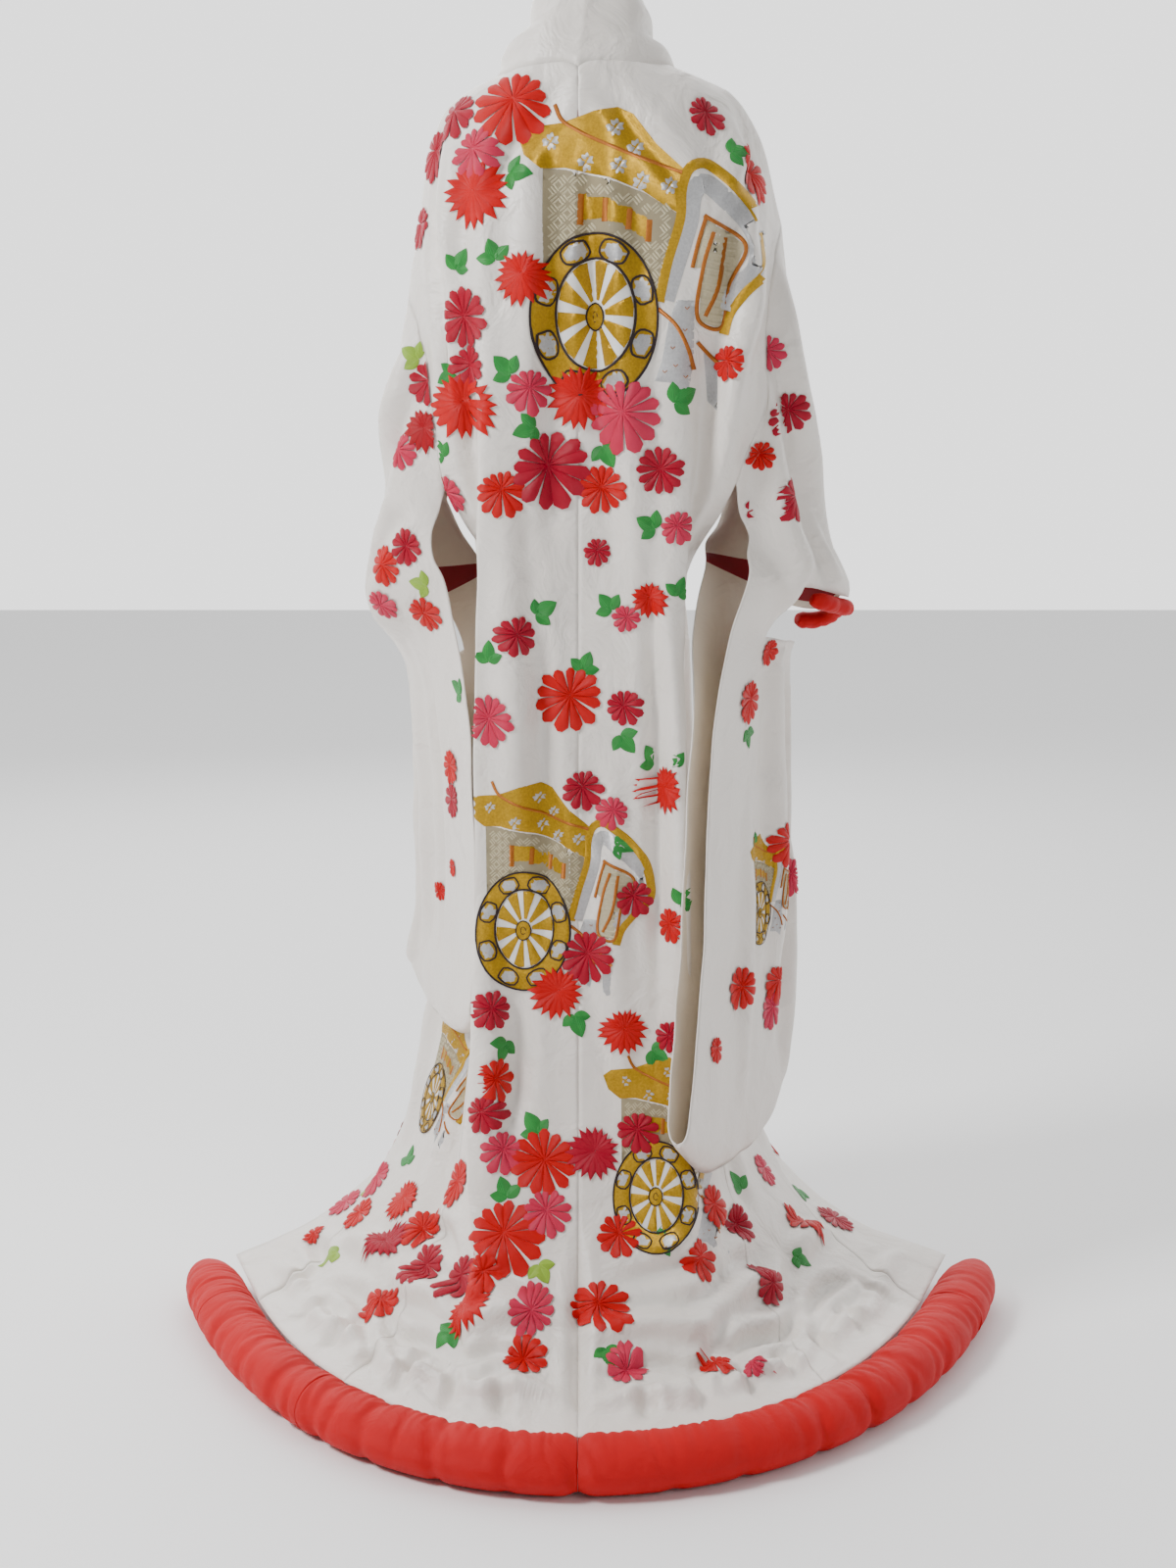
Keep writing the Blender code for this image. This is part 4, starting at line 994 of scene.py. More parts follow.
# The cuffs are finished with thin padded rolls of the same red silk, stitched on along the upper edge of
# the opening. They thin out to both ends.
CUFF_ROLL_SHARE = {"left": (0.55, 0.80), "right": (0.20, 0.70)}
CUFF_ROLL_WIDTH = 0.019
CUFF_SIDES = 20
CUFF_CLEARANCE = 0.004
CUFF_END = 0.55
CUFF_END_RINGS = 12


def cuff_roll(side, grid):
    """The roll just below the cuff opening's upper edge, following the sleeve round."""
    first, last = (int(share * SLEEVE_COLUMNS) for share in CUFF_ROLL_SHARE[side])
    edge = grid[OPEN_TOP, first:last + 1]
    down = edge - grid[OPEN_TOP - 1, first:last + 1]
    down /= np.linalg.norm(down, axis=1, keepdims=True)
    path = refine(edge + down * (CUFF_ROLL_WIDTH / 2 + CUFF_CLEARANCE), 3)
    puckers = pucker_list("cuff" + side, 0.4)
    rings = []
    arc = 0.0
    across = np.array((0.0, 0.0, 1.0))
    for i, centre in enumerate(path):
        ahead = path[min(i + 1, len(path) - 1)] - path[max(i - 1, 0)]
        arc += np.linalg.norm(ahead) / 2
        ahead /= np.linalg.norm(ahead)
        across = across - ahead * (across @ ahead)
        across /= np.linalg.norm(across)
        end = min(i, len(path) - 1 - i) / CUFF_END_RINGS
        size = CUFF_ROLL_WIDTH / 2 * (CUFF_END + (1 - CUFF_END) * min(1.0, end) ** 0.5)
        turn = 2 * np.pi * np.arange(CUFF_SIDES) / CUFF_SIDES
        reach = size - drawn_in(arc, turn, puckers, 1.2) * 0.35
        other = np.cross(ahead, across)
        round_it = across * np.cos(turn)[:, None] + other * np.sin(turn)[:, None]
        rings.append(centre + round_it * reach[:, None])
    return tube_object(f"cuff_roll_{side}_silk", np.array(rings), red_silk)


for side in SIDES:
    roll = cuff_roll(side, grids["sleeve_" + side])
    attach(roll, "root")
    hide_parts("cuff_roll_" + side)


# Embroidery in silk and metal thread, worked through the satin. Each motif is drawn flat in centimetres,
# then laid on the cloth that it lies over, following the folds, and raised like padded stitching. Motifs
# over the centre seam run on across it.
GROUPS = {"body": ("body_left", "body_right", "okumi_left", "okumi_right"),
          "sleeve_left": ("sleeve_left",), "sleeve_right": ("sleeve_right",)}
BACK_VIEW = Vector((-0.01, 2.5, EYE_HEIGHT - NECK_HEIGHT))
FRONT_VIEW = Vector((0.0, -2.6, EYE_HEIGHT - NECK_HEIGHT))
PLANE_AWAY = 0.12
cover = {}
for group, names in GROUPS.items():
    vertices, faces = [], []
    for name in names:
        start = len(vertices)
        vertices += [Vector(p) for p in (grids[name] + outward[name] * CLOTH_HALF).reshape(-1, 3)]
        faces += [tuple(int(i) + start for i in quad) for quad in cells[name]]
    cover[group] = BVHTree.FromPolygons(vertices, faces)
threads = {}


def spot_on_cloth(across, height, view, plane):
    """The outer cloth seen from a view at a place on an upright plane, in centimetres, if there is any."""
    aim = Vector((across / 100, plane, height / 100 - NECK_HEIGHT)) - view
    aim.normalize()
    found = None
    for group, tree in cover.items():
        place_hit, normal, _, distance = tree.ray_cast(view, aim)
        if place_hit and (found is None or distance < found[3]):
            found = (group, place_hit, normal, distance)
    if found is None:
        return None
    group, origin, normal, _ = found
    if normal.dot(aim) > 0:
        return None
    up = Vector((0.0, 0.0, 1.0))
    up = (up - normal * up.dot(normal)).normalized()
    if abs(normal.z) > 0.9:
        up = Vector((0.0, -origin.y, 0.0)).normalized()
        up = (up - normal * up.dot(normal)).normalized()
    return group, origin, normal, up.cross(normal), up


# Farthest that a stitch may look for the cloth, and how much longer than flat it may become over a fold.
STITCH_START = 0.05
STITCH_REACH = 0.12
LEAST_FACING = 0.12
MOST_STRETCH = 6
STRETCH_SLACK = 0.003


def lay(spot, colour, points, faces, uv, lift):
    """Lay flat points (across, up, rise), in centimetres, on the cloth round a spot."""
    group, origin, normal, right, up = spot
    placed = []
    for x, y, rise in points:
        start = origin + right * (x / 100) + up * (y / 100) + normal * STITCH_START
        hit, facing, _, _ = cover[group].ray_cast(start, -normal, STITCH_REACH)
        if hit is None or facing.dot(normal) < LEAST_FACING:
            placed.append(None)
        else:
            placed.append(hit + facing * ((lift + rise) / 100))
    vertices, measures, polygons = threads.setdefault((group, colour), ([], [], []))
    first = len(vertices)
    vertices += [origin if p is None else p for p in placed]
    measures += [(u / 100, v / 100) for u, v in uv]
    for face in faces:
        if any(placed[i] is None for i in face):
            continue
        torn = False
        for a, b in zip(face, face[1:] + face[:1]):
            flat = math.hypot(points[a][0] - points[b][0], points[a][1] - points[b][1]) / 100
            if (placed[a] - placed[b]).length > MOST_STRETCH * flat + STRETCH_SLACK:
                torn = True
        if not torn:
            polygons.append(tuple(first + i for i in face))


def turned(points, angle, x=0.0, y=0.0):
    """Points turned about the middle and then moved. A rise given with a point is kept."""
    cosine, sine = math.cos(angle), math.sin(angle)
    return [(x + (px * cosine - py * sine), y + (px * sine + py * cosine), *rest)
            for px, py, *rest in points]


# Across a strip of stitches, from edge to edge: share of the half width, and share of the rise.
STRIP_DOME = ((-1.0, -0.25), (-0.72, 0.7), (0.0, 1.0), (0.72, 0.7), (1.0, -0.25))
STRIP_STEPS = 7


def strip_shape(half_width, length, rise, start=0.0):
    """A domed strip along +y: half width by share of its length, edges down on the cloth."""
    points, uv, faces = [], [], []
    for j in range(STRIP_STEPS + 1):
        share = j / STRIP_STEPS
        half = half_width(share)
        y = start + (length - start) * share
        end = min(1.0, 6 * share + 0.3, 6 * (1 - share) + 0.05)
        for across, dome in STRIP_DOME:
            points.append((across * half, y, rise * dome * end))
            uv.append((across * half, y))
    for j in range(STRIP_STEPS):
        for i in range(4):
            a = j * 5 + i
            faces.append((a, a + 1, a + 6, a + 5))
    return points, uv, faces


# How many petals a small and a large flower has, by its kind.
PETALS = {"round": (11, 13), "spiky": (15, 19)}
LARGE_FLOWER = 2.4
PETAL_RISE = 0.10
PETAL_START = 0.04
# Share of its length at which a petal is widest, where its rounded end or its point begins.
ROUND_END = 0.82
SPIKE_START = 0.62


def flower(spot, radius, kind, colour, lift, seed):
    """A chrysanthemum whose centre sits high, so that the lower petals are longer."""
    chance = random.Random(seed)
    count = PETALS[kind][radius > LARGE_FLOWER]
    lean = chance.uniform(-0.12, 0.12) * radius
    high = chance.uniform(0.08, 0.26) * radius
    begin = chance.uniform(0, 2 * math.pi)
    for k in range(count):
        angle = begin + 2 * math.pi * k / count + chance.uniform(-0.05, 0.05)
        along = lean * math.cos(angle) + high * math.sin(angle)
        reach = -along + math.sqrt(max(0.0, along * along + radius * radius - lean * lean - high * high))
        reach *= chance.uniform(0.93, 1.05)
        spread = math.tan(math.pi / count) * reach

        def round_half(share):
            if share < ROUND_END:
                return spread * (0.03 + 0.87 * share)
            return spread * 0.743 * math.sqrt(max(0.0, 1 - ((share - ROUND_END) / 0.19) ** 2))

        def spiky_half(share):
            if share < SPIKE_START:
                return spread * (0.22 + 0.70 * share / SPIKE_START)
            return spread * 0.92 * (1 - share) / (1 - SPIKE_START) + 0.003

        half = round_half if kind == "round" else spiky_half
        points, uv, faces = strip_shape(half, reach, PETAL_RISE, PETAL_START)
        lay(spot, colour, turned(points, angle - math.pi / 2, lean, high), faces, uv, lift)


# Each lobe's turn from the middle one, and its share of the leaf's size.
LOBES = ((0.0, 1.0), (1.15, 0.78), (-1.15, 0.78))
LEAF_RISE = 0.07
VEIN_DEPTH = 0.35


def leaf(spot, size, colour, angle, lift, seed):
    """An ivy-like leaf of three pointed lobes, each with a vein down its middle."""
    chance = random.Random(seed)
    for turn, share in LOBES:
        reach = size * share * chance.uniform(0.9, 1.1)

        def half(part):
            return reach * 0.40 * math.sin(math.pi * min(1.0, part * 0.94 + 0.05)) ** 0.8 * (1 - 0.3 * part)

        points, uv, faces = strip_shape(half, reach, LEAF_RISE)
        points = [(x, y, rise * (VEIN_DEPTH if abs(x) < 0.02 else 1.0)) for x, y, rise in points]
        uv = [(u + 0.6 * abs(u), v - 0.8 * abs(u)) for u, v in uv]
        lay(spot, colour, turned(points, angle + turn), faces, uv, lift)


RIBBON_DOME = ((-1.0, -0.3), (-0.6, 0.8), (0.6, 0.8), (1.0, -0.3))
RIBBON_STEP = 0.35


def ribbon(spot, colour, path, width, lift, rise, scale):
    """A raised line through points, in centimetres."""
    keys = np.array(path, float) * scale
    gaps = np.linalg.norm(np.diff(keys, axis=0), axis=1)
    fine = refine(keys, tuple(max(1, int(gap / RIBBON_STEP)) for gap in gaps))
    points, uv, faces = [], [], []
    run = 0.0
    for i, here in enumerate(fine):
        ahead = fine[min(i + 1, len(fine) - 1)] - fine[max(i - 1, 0)]
        ahead = ahead / max(np.linalg.norm(ahead), 1e-9)
        side = np.array((-ahead[1], ahead[0])) * width * scale / 2
        run += np.linalg.norm(fine[i] - fine[i - 1]) if i else 0.0
        for across, dome in RIBBON_DOME:
            points.append((here[0] + across * side[0], here[1] + across * side[1], rise * dome))
            uv.append((run, across * width / 2))
    for i in range(len(fine) - 1):
        for k in range(3):
            a = i * 4 + k
            faces.append((a, a + 1, a + 5, a + 4))
    lay(spot, colour, points, faces, uv, lift)


def inside(x, y, ring):
    """Whether a point lies in a ring, by how often a line from it crosses the ring."""
    odd = False
    for (ax, ay), (bx, by) in zip(ring, ring[1:] + ring[:1]):
        if (ay > y) != (by > y) and x < (bx - ax) * (y - ay) / (by - ay) + ax:
            odd = not odd
    return odd


def stepped(ring, step):
    """A ring's sides cut into equal parts of about a step."""
    points = []
    for a, b in zip(ring, ring[1:] + ring[:1]):
        parts = max(1, int(math.dist(a, b) / step))
        points += [(a[0] + (b[0] - a[0]) * k / parts, a[1] + (b[1] - a[1]) * k / parts) for k in range(parts)]
    return points


EDGE_SINK = -0.02


def patch(spot, colour, outline, lift, rise, scale, hole, step):
    """A filled shape inside an outline, with its edge down on the cloth."""
    rings = [stepped([(x * scale, y * scale) for x, y in ring], step) for ring in (outline, hole) if ring]

    def filled(x, y):
        return inside(x, y, rings[0]) and not (hole and inside(x, y, rings[1]))

    border = np.array([p for ring in rings for p in ring])

    def from_border(x, y):
        return np.linalg.norm(border - (x, y), axis=1).min()

    points = [Vector(p) for p in border]
    low, high = border.min(axis=0), border.max(axis=0)
    for i in range(int((high[0] - low[0]) / step) + 1):
        for j in range(int((high[1] - low[1]) / step) + 1):
            x = low[0] + (i + 0.5 * (j % 2)) * step
            y = low[1] + j * step
            if filled(x, y) and from_border(x, y) > step * 0.45:
                points.append(Vector((x, y)))
    edges = []
    start = 0
    for ring in rings:
        edges += [(start + k, start + (k + 1) % len(ring)) for k in range(len(ring))]
        start += len(ring)
    made, _, triangles, *_ = delaunay_2d_cdt(points, edges, [], 0, 1e-5)
    flat = [(p.x, p.y) for p in made]
    keep = []
    for triangle in triangles:
        x, y = (sum(flat[k][axis] for k in triangle) / 3 for axis in (0, 1))
        if filled(x, y):
            keep.append(tuple(triangle))
    raised = [(x, y, rise if from_border(x, y) > step * 0.4 else EDGE_SINK) for x, y in flat]
    lay(spot, colour, raised, keep, flat, lift)


def ellipse(rx, ry, count, x=0.0, y=0.0):
    return [(x + rx * math.cos(2 * math.pi * k / count), y + ry * math.sin(2 * math.pi * k / count))
            for k in range(count)]


def closed(ring):
    return ring + ring[:1]


# A court cart, drawn in centimetres round the middle of its great wheel. Its parts take two ways of
# working, fill(thread, outline, level, rise) and line(thread, path, width, level, rise).
BLOSSOM_SIZE = 1.15
BLOSSOM_PETAL = ((0.0, 0.0), (0.42, 0.35), (0.36, 0.85), (0.0, 0.72), (-0.36, 0.85), (-0.42, 0.35))
WEAVE_STEP = 0.95
STRAND_HALF = 0.42
STRAND_GAP = 0.33
RIM_PLATE = ((-1.3, -0.75), (0.0, -1.15), (1.3, -0.75), (1.3, 0.55), (0.0, 1.0), (-1.3, 0.55))
# A spoke's corners: share of the way from the middle to the rim, and turn from the spoke's own line.
SPOKE = ((0.27, -0.17), (0.97, -0.20), (0.99, 0.0), (0.97, 0.20), (0.27, 0.17))


def cart_wall(fill, line):
    """Straw walls in a basket weave, left out behind the wheel and the window, and a barred gold window."""
    fill("straw", [(-5.4, 15.0), (-3.0, 14.8), (1.5, 13.8), (5.0, 12.5), (8.4, 10.4), (7.6, 6.5), (6.8, 2.0),
                   (-5.2, 2.0)], 0.0, 0.02)
    for i in range(-8, 12):
        for j in range(-4, 18):
            x, y = WEAVE_STEP * (i + 0.5), WEAVE_STEP * (j + 0.5)
            eaves = 14.6 - max(0.0, x + 3) * 0.36
            if not (-5.0 < x < 7.4 and 2.6 < y < eaves) or (x / 6.3) ** 2 + (y / 8.3) ** 2 < 1:
                continue
            if -2.0 < x < 6.2 and 12.4 - 0.3 * x - 3.3 < y < 12.4 - 0.3 * x:
                continue
            for k in (-STRAND_GAP, 0.0, STRAND_GAP):
                strand = [(-STRAND_HALF, k), (STRAND_HALF, k)]
                if (i + j) % 2 == 0:
                    strand = [(b, a) for a, b in strand]
                line("beige", turned(strand, 0.7, x, y), 0.26, 0.01, 0.05)
    fill("gold", [(-1.8, 12.6), (0.8, 12.3), (3.5, 11.2), (5.9, 9.8), (5.5, 7.4), (3.2, 8.9), (0.8, 9.7),
                  (-1.8, 9.5)], 0.01, 0.03)
    for x, top, foot in ((-1.5, 12.4, 9.3), (1.1, 11.9, 9.6), (3.5, 10.9, 8.8), (5.5, 9.8, 7.6)):
        line("copper", [(x, top), (x - 0.1, foot)], 0.7, 0.025)


def cart_roof(fill, line):
    """A gold roof with silver blossoms of four notched petals, and a copper ridge pole."""
    fill("gold", [(-8.2, 18.4), (-7.0, 19.2), (-3.6, 19.5), (-0.4, 20.7), (2.0, 21.2), (3.6, 20.5),
                  (6.0, 17.5), (8.8, 15.0), (8.5, 10.4), (6.6, 11.5), (4.8, 12.7), (1.4, 14.0), (-3.2, 15.0),
                  (-5.6, 14.9), (-7.4, 16.3)], 0.025, 0.06)
    petal = [(x * BLOSSOM_SIZE, y * BLOSSOM_SIZE) for x, y in BLOSSOM_PETAL]
    for x, y in ((-4.7, 17.6), (1.8, 19.0), (3.9, 17.0), (-1.1, 15.6), (2.3, 15.2), (4.6, 13.7), (7.4, 13.2)):
        for k in range(4):
            fill("silver", turned(petal, math.pi / 2 * k + 0.2, x, y), 0.065, step=0.3)
    line("copper", [(-4.4, 21.4), (-3.6, 19.8), (-1.9, 18.7), (1.4, 17.2), (4.8, 15.9), (8.7, 14.6)],
         0.45, 0.075, 0.09)


def cart_wheel(fill, line):
    """A gold rim with silver plates, and gold spokes on white round a gold hub, all with dark outlines."""
    fill("gold", ellipse(6.5, 8.5, 40), 0.06, 0.07, hole=ellipse(4.1, 5.7, 30, 0.1, 0.3))
    fill("white", ellipse(4.0, 5.6, 30, 0.1, 0.3), 0.05, 0.03)
    for k in range(8):
        turn = 2 * math.pi * k / 8 + 0.4
        slope = math.atan2(7.0 * math.cos(turn), -5.2 * math.sin(turn))
        plate = turned(RIM_PLATE, slope, 5.2 * math.cos(turn), 7.0 * math.sin(turn))
        fill("silver", plate, 0.1)
        line("dark", closed(plate), 0.24, 0.16, 0.03)
    line("dark", closed(ellipse(6.5, 8.5, 40)), 0.24, 0.15, 0.03)
    line("dark", closed(ellipse(4.1, 5.7, 40, 0.1, 0.3)), 0.24, 0.15, 0.03)
    for k in range(10):
        turn = 2 * math.pi * k / 10 + 0.15
        spoke = [(0.1 + 4.0 * reach * math.cos(turn + spread), 0.3 + 5.6 * reach * math.sin(turn + spread))
                 for reach, spread in SPOKE]
        fill("gold", spoke, 0.12, step=0.3)
    fill("gold", ellipse(1.0, 1.35, 16, 0.0, 0.1), 0.16, 0.06)
    line("dark", closed(ellipse(1.05, 1.4, 16, 0.0, 0.1)), 0.16, 0.20, 0.03)
    line("dark", ellipse(0.35, 0.55, 10, 0.0, 0.1), 0.10, 0.23, 0.03)


def cart_blind(fill, line):
    """The beige blind in its silver and gold frame at the front, with copper cords and hanging ends."""
    fill("beige", [(11.0, 10.3), (15.2, 7.4), (13.1, 2.6), (12.7, -1.0), (10.6, -0.3), (10.8, 5.0),
                   (9.9, 5.0)], 0.0, 0.03)
    for y in range(13):
        line("beige", [(10.9, -0.2 + 0.75 * y), (13.0 + 0.12 * y, -0.6 + 0.75 * y)], 0.4, 0.015, 0.05)
    line("silver", [(7.2, 1.8), (8.4, 5.8), (9.5, 9.7), (9.9, 12.6), (10.8, 13.6), (13.3, 11.8), (15.4, 9.7),
                    (16.5, 7.4), (16.2, 4.9), (14.1, 2.9), (13.4, 0.8)], 1.9, 0.025)
    line("gold", [(6.6, 1.6), (7.5, 5.6), (8.7, 10.0), (8.8, 13.6), (9.5, 15.1), (10.8, 15.6), (12.6, 14.6),
                  (14.7, 12.7), (16.4, 10.4), (17.2, 7.5), (17.3, 4.8), (15.3, 2.6), (13.7, 0.5),
                  (13.1, -1.6)], 1.1, 0.05, 0.08)
    for path in (
        [(11.0, 10.3), (15.2, 7.4), (13.6, 3.4), (12.7, -1.0), (10.6, -0.3), (11.0, 5.0), (12.0, 8.6)],
        [(13.1, 8.2), (12.4, 3.0), (11.2, 0.2)], [(11.2, 10.1), (10.5, 7.6), (9.9, 5.0)],
    ):
        line("copper", path, 0.42, 0.06, 0.08)
    fill("silver", [(7.6, -0.4), (6.9, -4.4), (6.2, -6.4), (8.0, -6.6), (9.5, -8.0), (10.1, -4.5),
                    (10.2, 1.8), (8.4, 1.8)], 0.0, 0.04)
    for x, y in ((8.0, -3.0), (9.2, -1.2), (9.4, 1.0), (7.2, -5.4), (9.3, -5.9), (8.3, -4.8)):
        line("copper", [(x - 0.2, y + 0.1), (x, y - 0.15), (x + 0.25, y + 0.1)], 0.12, 0.03)
    line("copper", [(6.5, 0.9), (8.3, -0.7), (9.5, -3.0), (10.1, -5.2)], 0.42, 0.05, 0.08)
    line("copper", [(10.4, -2.4), (11.5, -3.6), (12.6, -4.6)], 0.42, 0.05, 0.08)
    fill("silver", [(11.0, -3.2), (12.5, -4.8), (12.5, -9.4), (11.4, -8.4)], 0.0, 0.04)


def cart(spot, scale, lift):
    """A whole court cart at a spot, its parts worked one over the other."""
    def fill(colour, outline, level, rise=0.05, hole=None, step=0.45):
        patch(spot, colour, outline, lift + level, rise, scale, hole, step)

    def line(colour, path, width, level, rise=0.06):
        ribbon(spot, colour, path, width, lift + level, rise, scale)

    for work in (cart_wall, cart_roof, cart_wheel, cart_blind):
        work(fill, line)


# Where the motifs lie: across (wearer's left is positive) and height, in centimetres, as seen from behind.
CARTS = (
    (-1.8, 112.6, 1.0), (6.0, 47.5, 0.76), (-19.5, 49.5, 0.42), (16.0, 28.5, 0.50), (-8.5, 17.0, 0.70),
)
FLOWERS = (
    (7.0, 133.5, 4.0, "round", "red"), (12.5, 132.5, 2.8, "round", "rose"),
    (14.5, 128.5, 2.8, "round", "rose"), (10.5, 129.0, 2.6, "round", "pink"),
    (10.5, 125.0, 3.7, "spiky", "red"), (16.0, 121.5, 2.3, "round", "rose"),
    (6.0, 116.5, 2.9, "spiky", "red"), (11.5, 112.5, 3.2, "round", "rose"),
    (-13.0, 132.5, 2.2, "round", "rose"), (-17.5, 126.5, 2.8, "round", "red"),
    (-20.5, 124.0, 3.2, "round", "rose"), (-15.5, 108.0, 1.9, "round", "red"),
    (-19.5, 109.0, 2.0, "round", "pink"), (-19.0, 98.5, 1.6, "round", "red"),
    (-22.0, 103.0, 2.2, "round", "rose"), (-24.0, 107.0, 2.2, "round", "pink"),
    (-22.5, 94.0, 2.4, "round", "rose"), (-17.5, 87.5, 2.0, "round", "pink"),
    (-20.0, 78.0, 1.6, "round", "red"), (-18.0, 72.5, 2.5, "round", "red"),
    (-22.5, 57.0, 2.7, "round", "red"), (-23.0, 53.5, 2.2, "round", "pink"),
    (-17.5, 41.0, 2.4, "round", "red"), (-21.5, 41.5, 2.2, "round", "red"),
    (-21.0, 38.5, 2.2, "round", "pink"), (-15.0, 34.0, 1.5, "round", "red"),
    (15.5, 106.0, 2.3, "round", "rose"), (16.0, 101.0, 2.4, "spiky", "wine"),
    (18.5, 99.0, 2.0, "round", "pink"), (20.5, 87.0, 2.2, "round", "red"),
    (18.0, 89.0, 2.0, "round", "rose"), (20.5, 83.0, 2.0, "round", "pink"),
    (16.0, 82.0, 2.2, "round", "red"), (11.0, 107.5, 2.3, "round", "rose"),
    (12.0, 103.5, 3.5, "spiky", "red"), (13.5, 94.5, 2.3, "round", "pink"),
    (5.0, 105.0, 2.4, "round", "pink"), (0.0, 104.5, 3.4, "spiky", "red"),
    (-4.5, 102.5, 3.9, "round", "pink"), (3.0, 97.0, 4.1, "round", "rose"),
    (8.0, 94.5, 2.5, "round", "red"), (-2.5, 95.0, 2.6, "round", "red"), (-8.5, 97.0, 2.5, "round", "rose"),
    (-10.5, 91.0, 1.8, "round", "pink"), (-2.0, 88.5, 1.5, "round", "rose"),
    (-7.5, 83.5, 2.0, "spiky", "red"), (-5.0, 81.5, 1.5, "round", "pink"),
    (6.5, 79.5, 2.2, "round", "rose"), (1.0, 73.0, 3.5, "round", "red"), (-5.0, 72.0, 2.0, "round", "rose"),
    (9.5, 70.5, 2.8, "round", "pink"), (13.5, 65.5, 2.0, "round", "red"),
    (13.5, 62.0, 2.0, "round", "rose"), (13.5, 54.5, 1.1, "round", "red"),
    (15.0, 52.0, 1.2, "round", "red"), (-0.5, 63.0, 2.2, "round", "rose"),
    (-3.5, 60.5, 1.8, "round", "pink"), (-9.5, 63.0, 2.6, "spiky", "red"),
    (-12.5, 64.5, 2.0, "round", "rose"), (-6.0, 51.0, 2.0, "round", "rose"),
    (-10.0, 48.0, 2.0, "round", "red"), (-1.0, 44.5, 2.9, "round", "rose"),
    (2.5, 40.5, 3.0, "spiky", "red"), (9.5, 38.5, 2.2, "round", "rose"), (-5.0, 36.0, 2.7, "spiky", "red"),
    (-10.0, 35.5, 1.8, "round", "rose"), (9.0, 30.5, 2.4, "round", "red"),
    (10.5, 26.5, 2.1, "round", "rose"), (8.5, 22.0, 2.4, "round", "pink"), (4.0, 21.0, 3.6, "round", "red"),
    (-1.5, 22.0, 3.0, "spiky", "rose"), (-6.5, 24.5, 2.3, "round", "rose"),
    (8.0, 12.0, 4.1, "round", "red"), (3.5, 15.0, 2.6, "round", "pink"), (13.5, 18.5, 2.8, "round", "red"),
    (19.5, 16.5, 2.8, "spiky", "red"), (22.5, 19.0, 2.6, "round", "pink"),
    (24.5, 15.0, 2.4, "round", "red"), (17.5, 13.0, 2.6, "round", "red"),
    (21.5, 11.5, 2.8, "spiky", "rose"), (17.0, 8.5, 2.9, "round", "rose"),
    (13.0, 7.5, 2.4, "round", "rose"), (10.5, 8.0, 2.2, "round", "red"), (29.5, 12.5, 1.5, "round", "red"),
    (22.5, 4.5, 2.4, "round", "red"), (12.5, 4.0, 2.8, "spiky", "red"), (5.5, 3.5, 2.5, "round", "pink"),
    (6.0, -2.5, 2.4, "round", "red"), (-4.5, 12.5, 2.4, "round", "red"), (-2.5, 4.0, 2.9, "round", "red"),
    (-5.5, -4.0, 2.2, "round", "pink"), (-15.0, 16.0, 2.4, "round", "red"),
    (-17.5, 13.5, 2.3, "round", "rose"), (-20.5, 20.0, 2.2, "round", "pink"),
    (-25.0, 14.0, 2.4, "round", "red"), (-21.5, 6.5, 2.4, "round", "rose"),
    (-13.5, 9.5, 2.4, "round", "red"), (-15.5, -3.0, 1.8, "round", "red"),
    (-19.5, -3.0, 1.3, "round", "pink"),
)
# Leaves: across, height, size, heading in degrees from up, turning to the left, and shade.
LEAVES = (
    (7.0, 127.0, 2.6, -90, "leaf"), (8.5, 118.5, 2.4, 20, "leaf"), (12.5, 117.5, 2.2, -30, "leaf"),
    (16.5, 108.5, 2.4, 60, "lime"), (13.0, 107.0, 2.2, 120, "leaf"), (7.0, 107.0, 2.4, 45, "leaf"),
    (-10.0, 104.0, 2.6, -60, "leaf"), (4.5, 101.5, 2.4, 110, "leaf"), (-2.5, 99.5, 2.6, -150, "leaf"),
    (14.0, 98.5, 2.4, 40, "leaf"), (13.5, 90.0, 2.4, 10, "leaf"), (-8.0, 91.0, 2.3, 60, "leaf"),
    (16.0, 85.0, 2.2, 80, "lime"), (-3.5, 82.5, 2.2, 40, "leaf"), (-10.5, 84.0, 2.2, -20, "leaf"),
    (4.5, 82.0, 2.3, -60, "leaf"), (9.5, 77.0, 2.3, 0, "leaf"), (20.5, 80.0, 2.2, 100, "leaf"),
    (-0.5, 76.0, 2.3, -20, "leaf"), (-4.5, 69.0, 2.3, -140, "leaf"), (12.5, 73.5, 2.2, 60, "leaf"),
    (-18.0, 69.5, 2.2, -170, "leaf"), (-4.0, 57.0, 2.3, -100, "leaf"), (-8.0, 66.0, 2.2, 30, "leaf"),
    (-19.0, 57.0, 2.2, 70, "leaf"), (-11.0, 50.5, 2.2, -40, "leaf"), (0.5, 38.0, 2.4, -160, "leaf"),
    (8.0, 35.0, 2.4, 150, "leaf"), (-8.0, 34.0, 2.3, -120, "leaf"), (-11.5, 38.0, 2.0, -30, "leaf"),
    (4.5, 24.5, 2.6, 30, "leaf"), (8.0, 17.0, 2.6, 20, "leaf"), (4.5, 9.0, 2.4, -150, "lime"),
    (27.0, 10.5, 2.4, 100, "lime"), (14.0, 1.0, 2.6, 160, "leaf"), (-15.5, 129.0, 2.2, -70, "leaf"),
    (-20.5, 130.0, 2.0, 0, "leaf"), (-9.0, 12.0, 2.4, -80, "leaf"), (-18.0, 18.0, 2.4, 20, "leaf"),
    (-3.0, -1.0, 2.4, -170, "leaf"), (19.0, 21.0, 2.4, 30, "leaf"), (-24.0, 10.0, 2.2, -110, "leaf"),
)
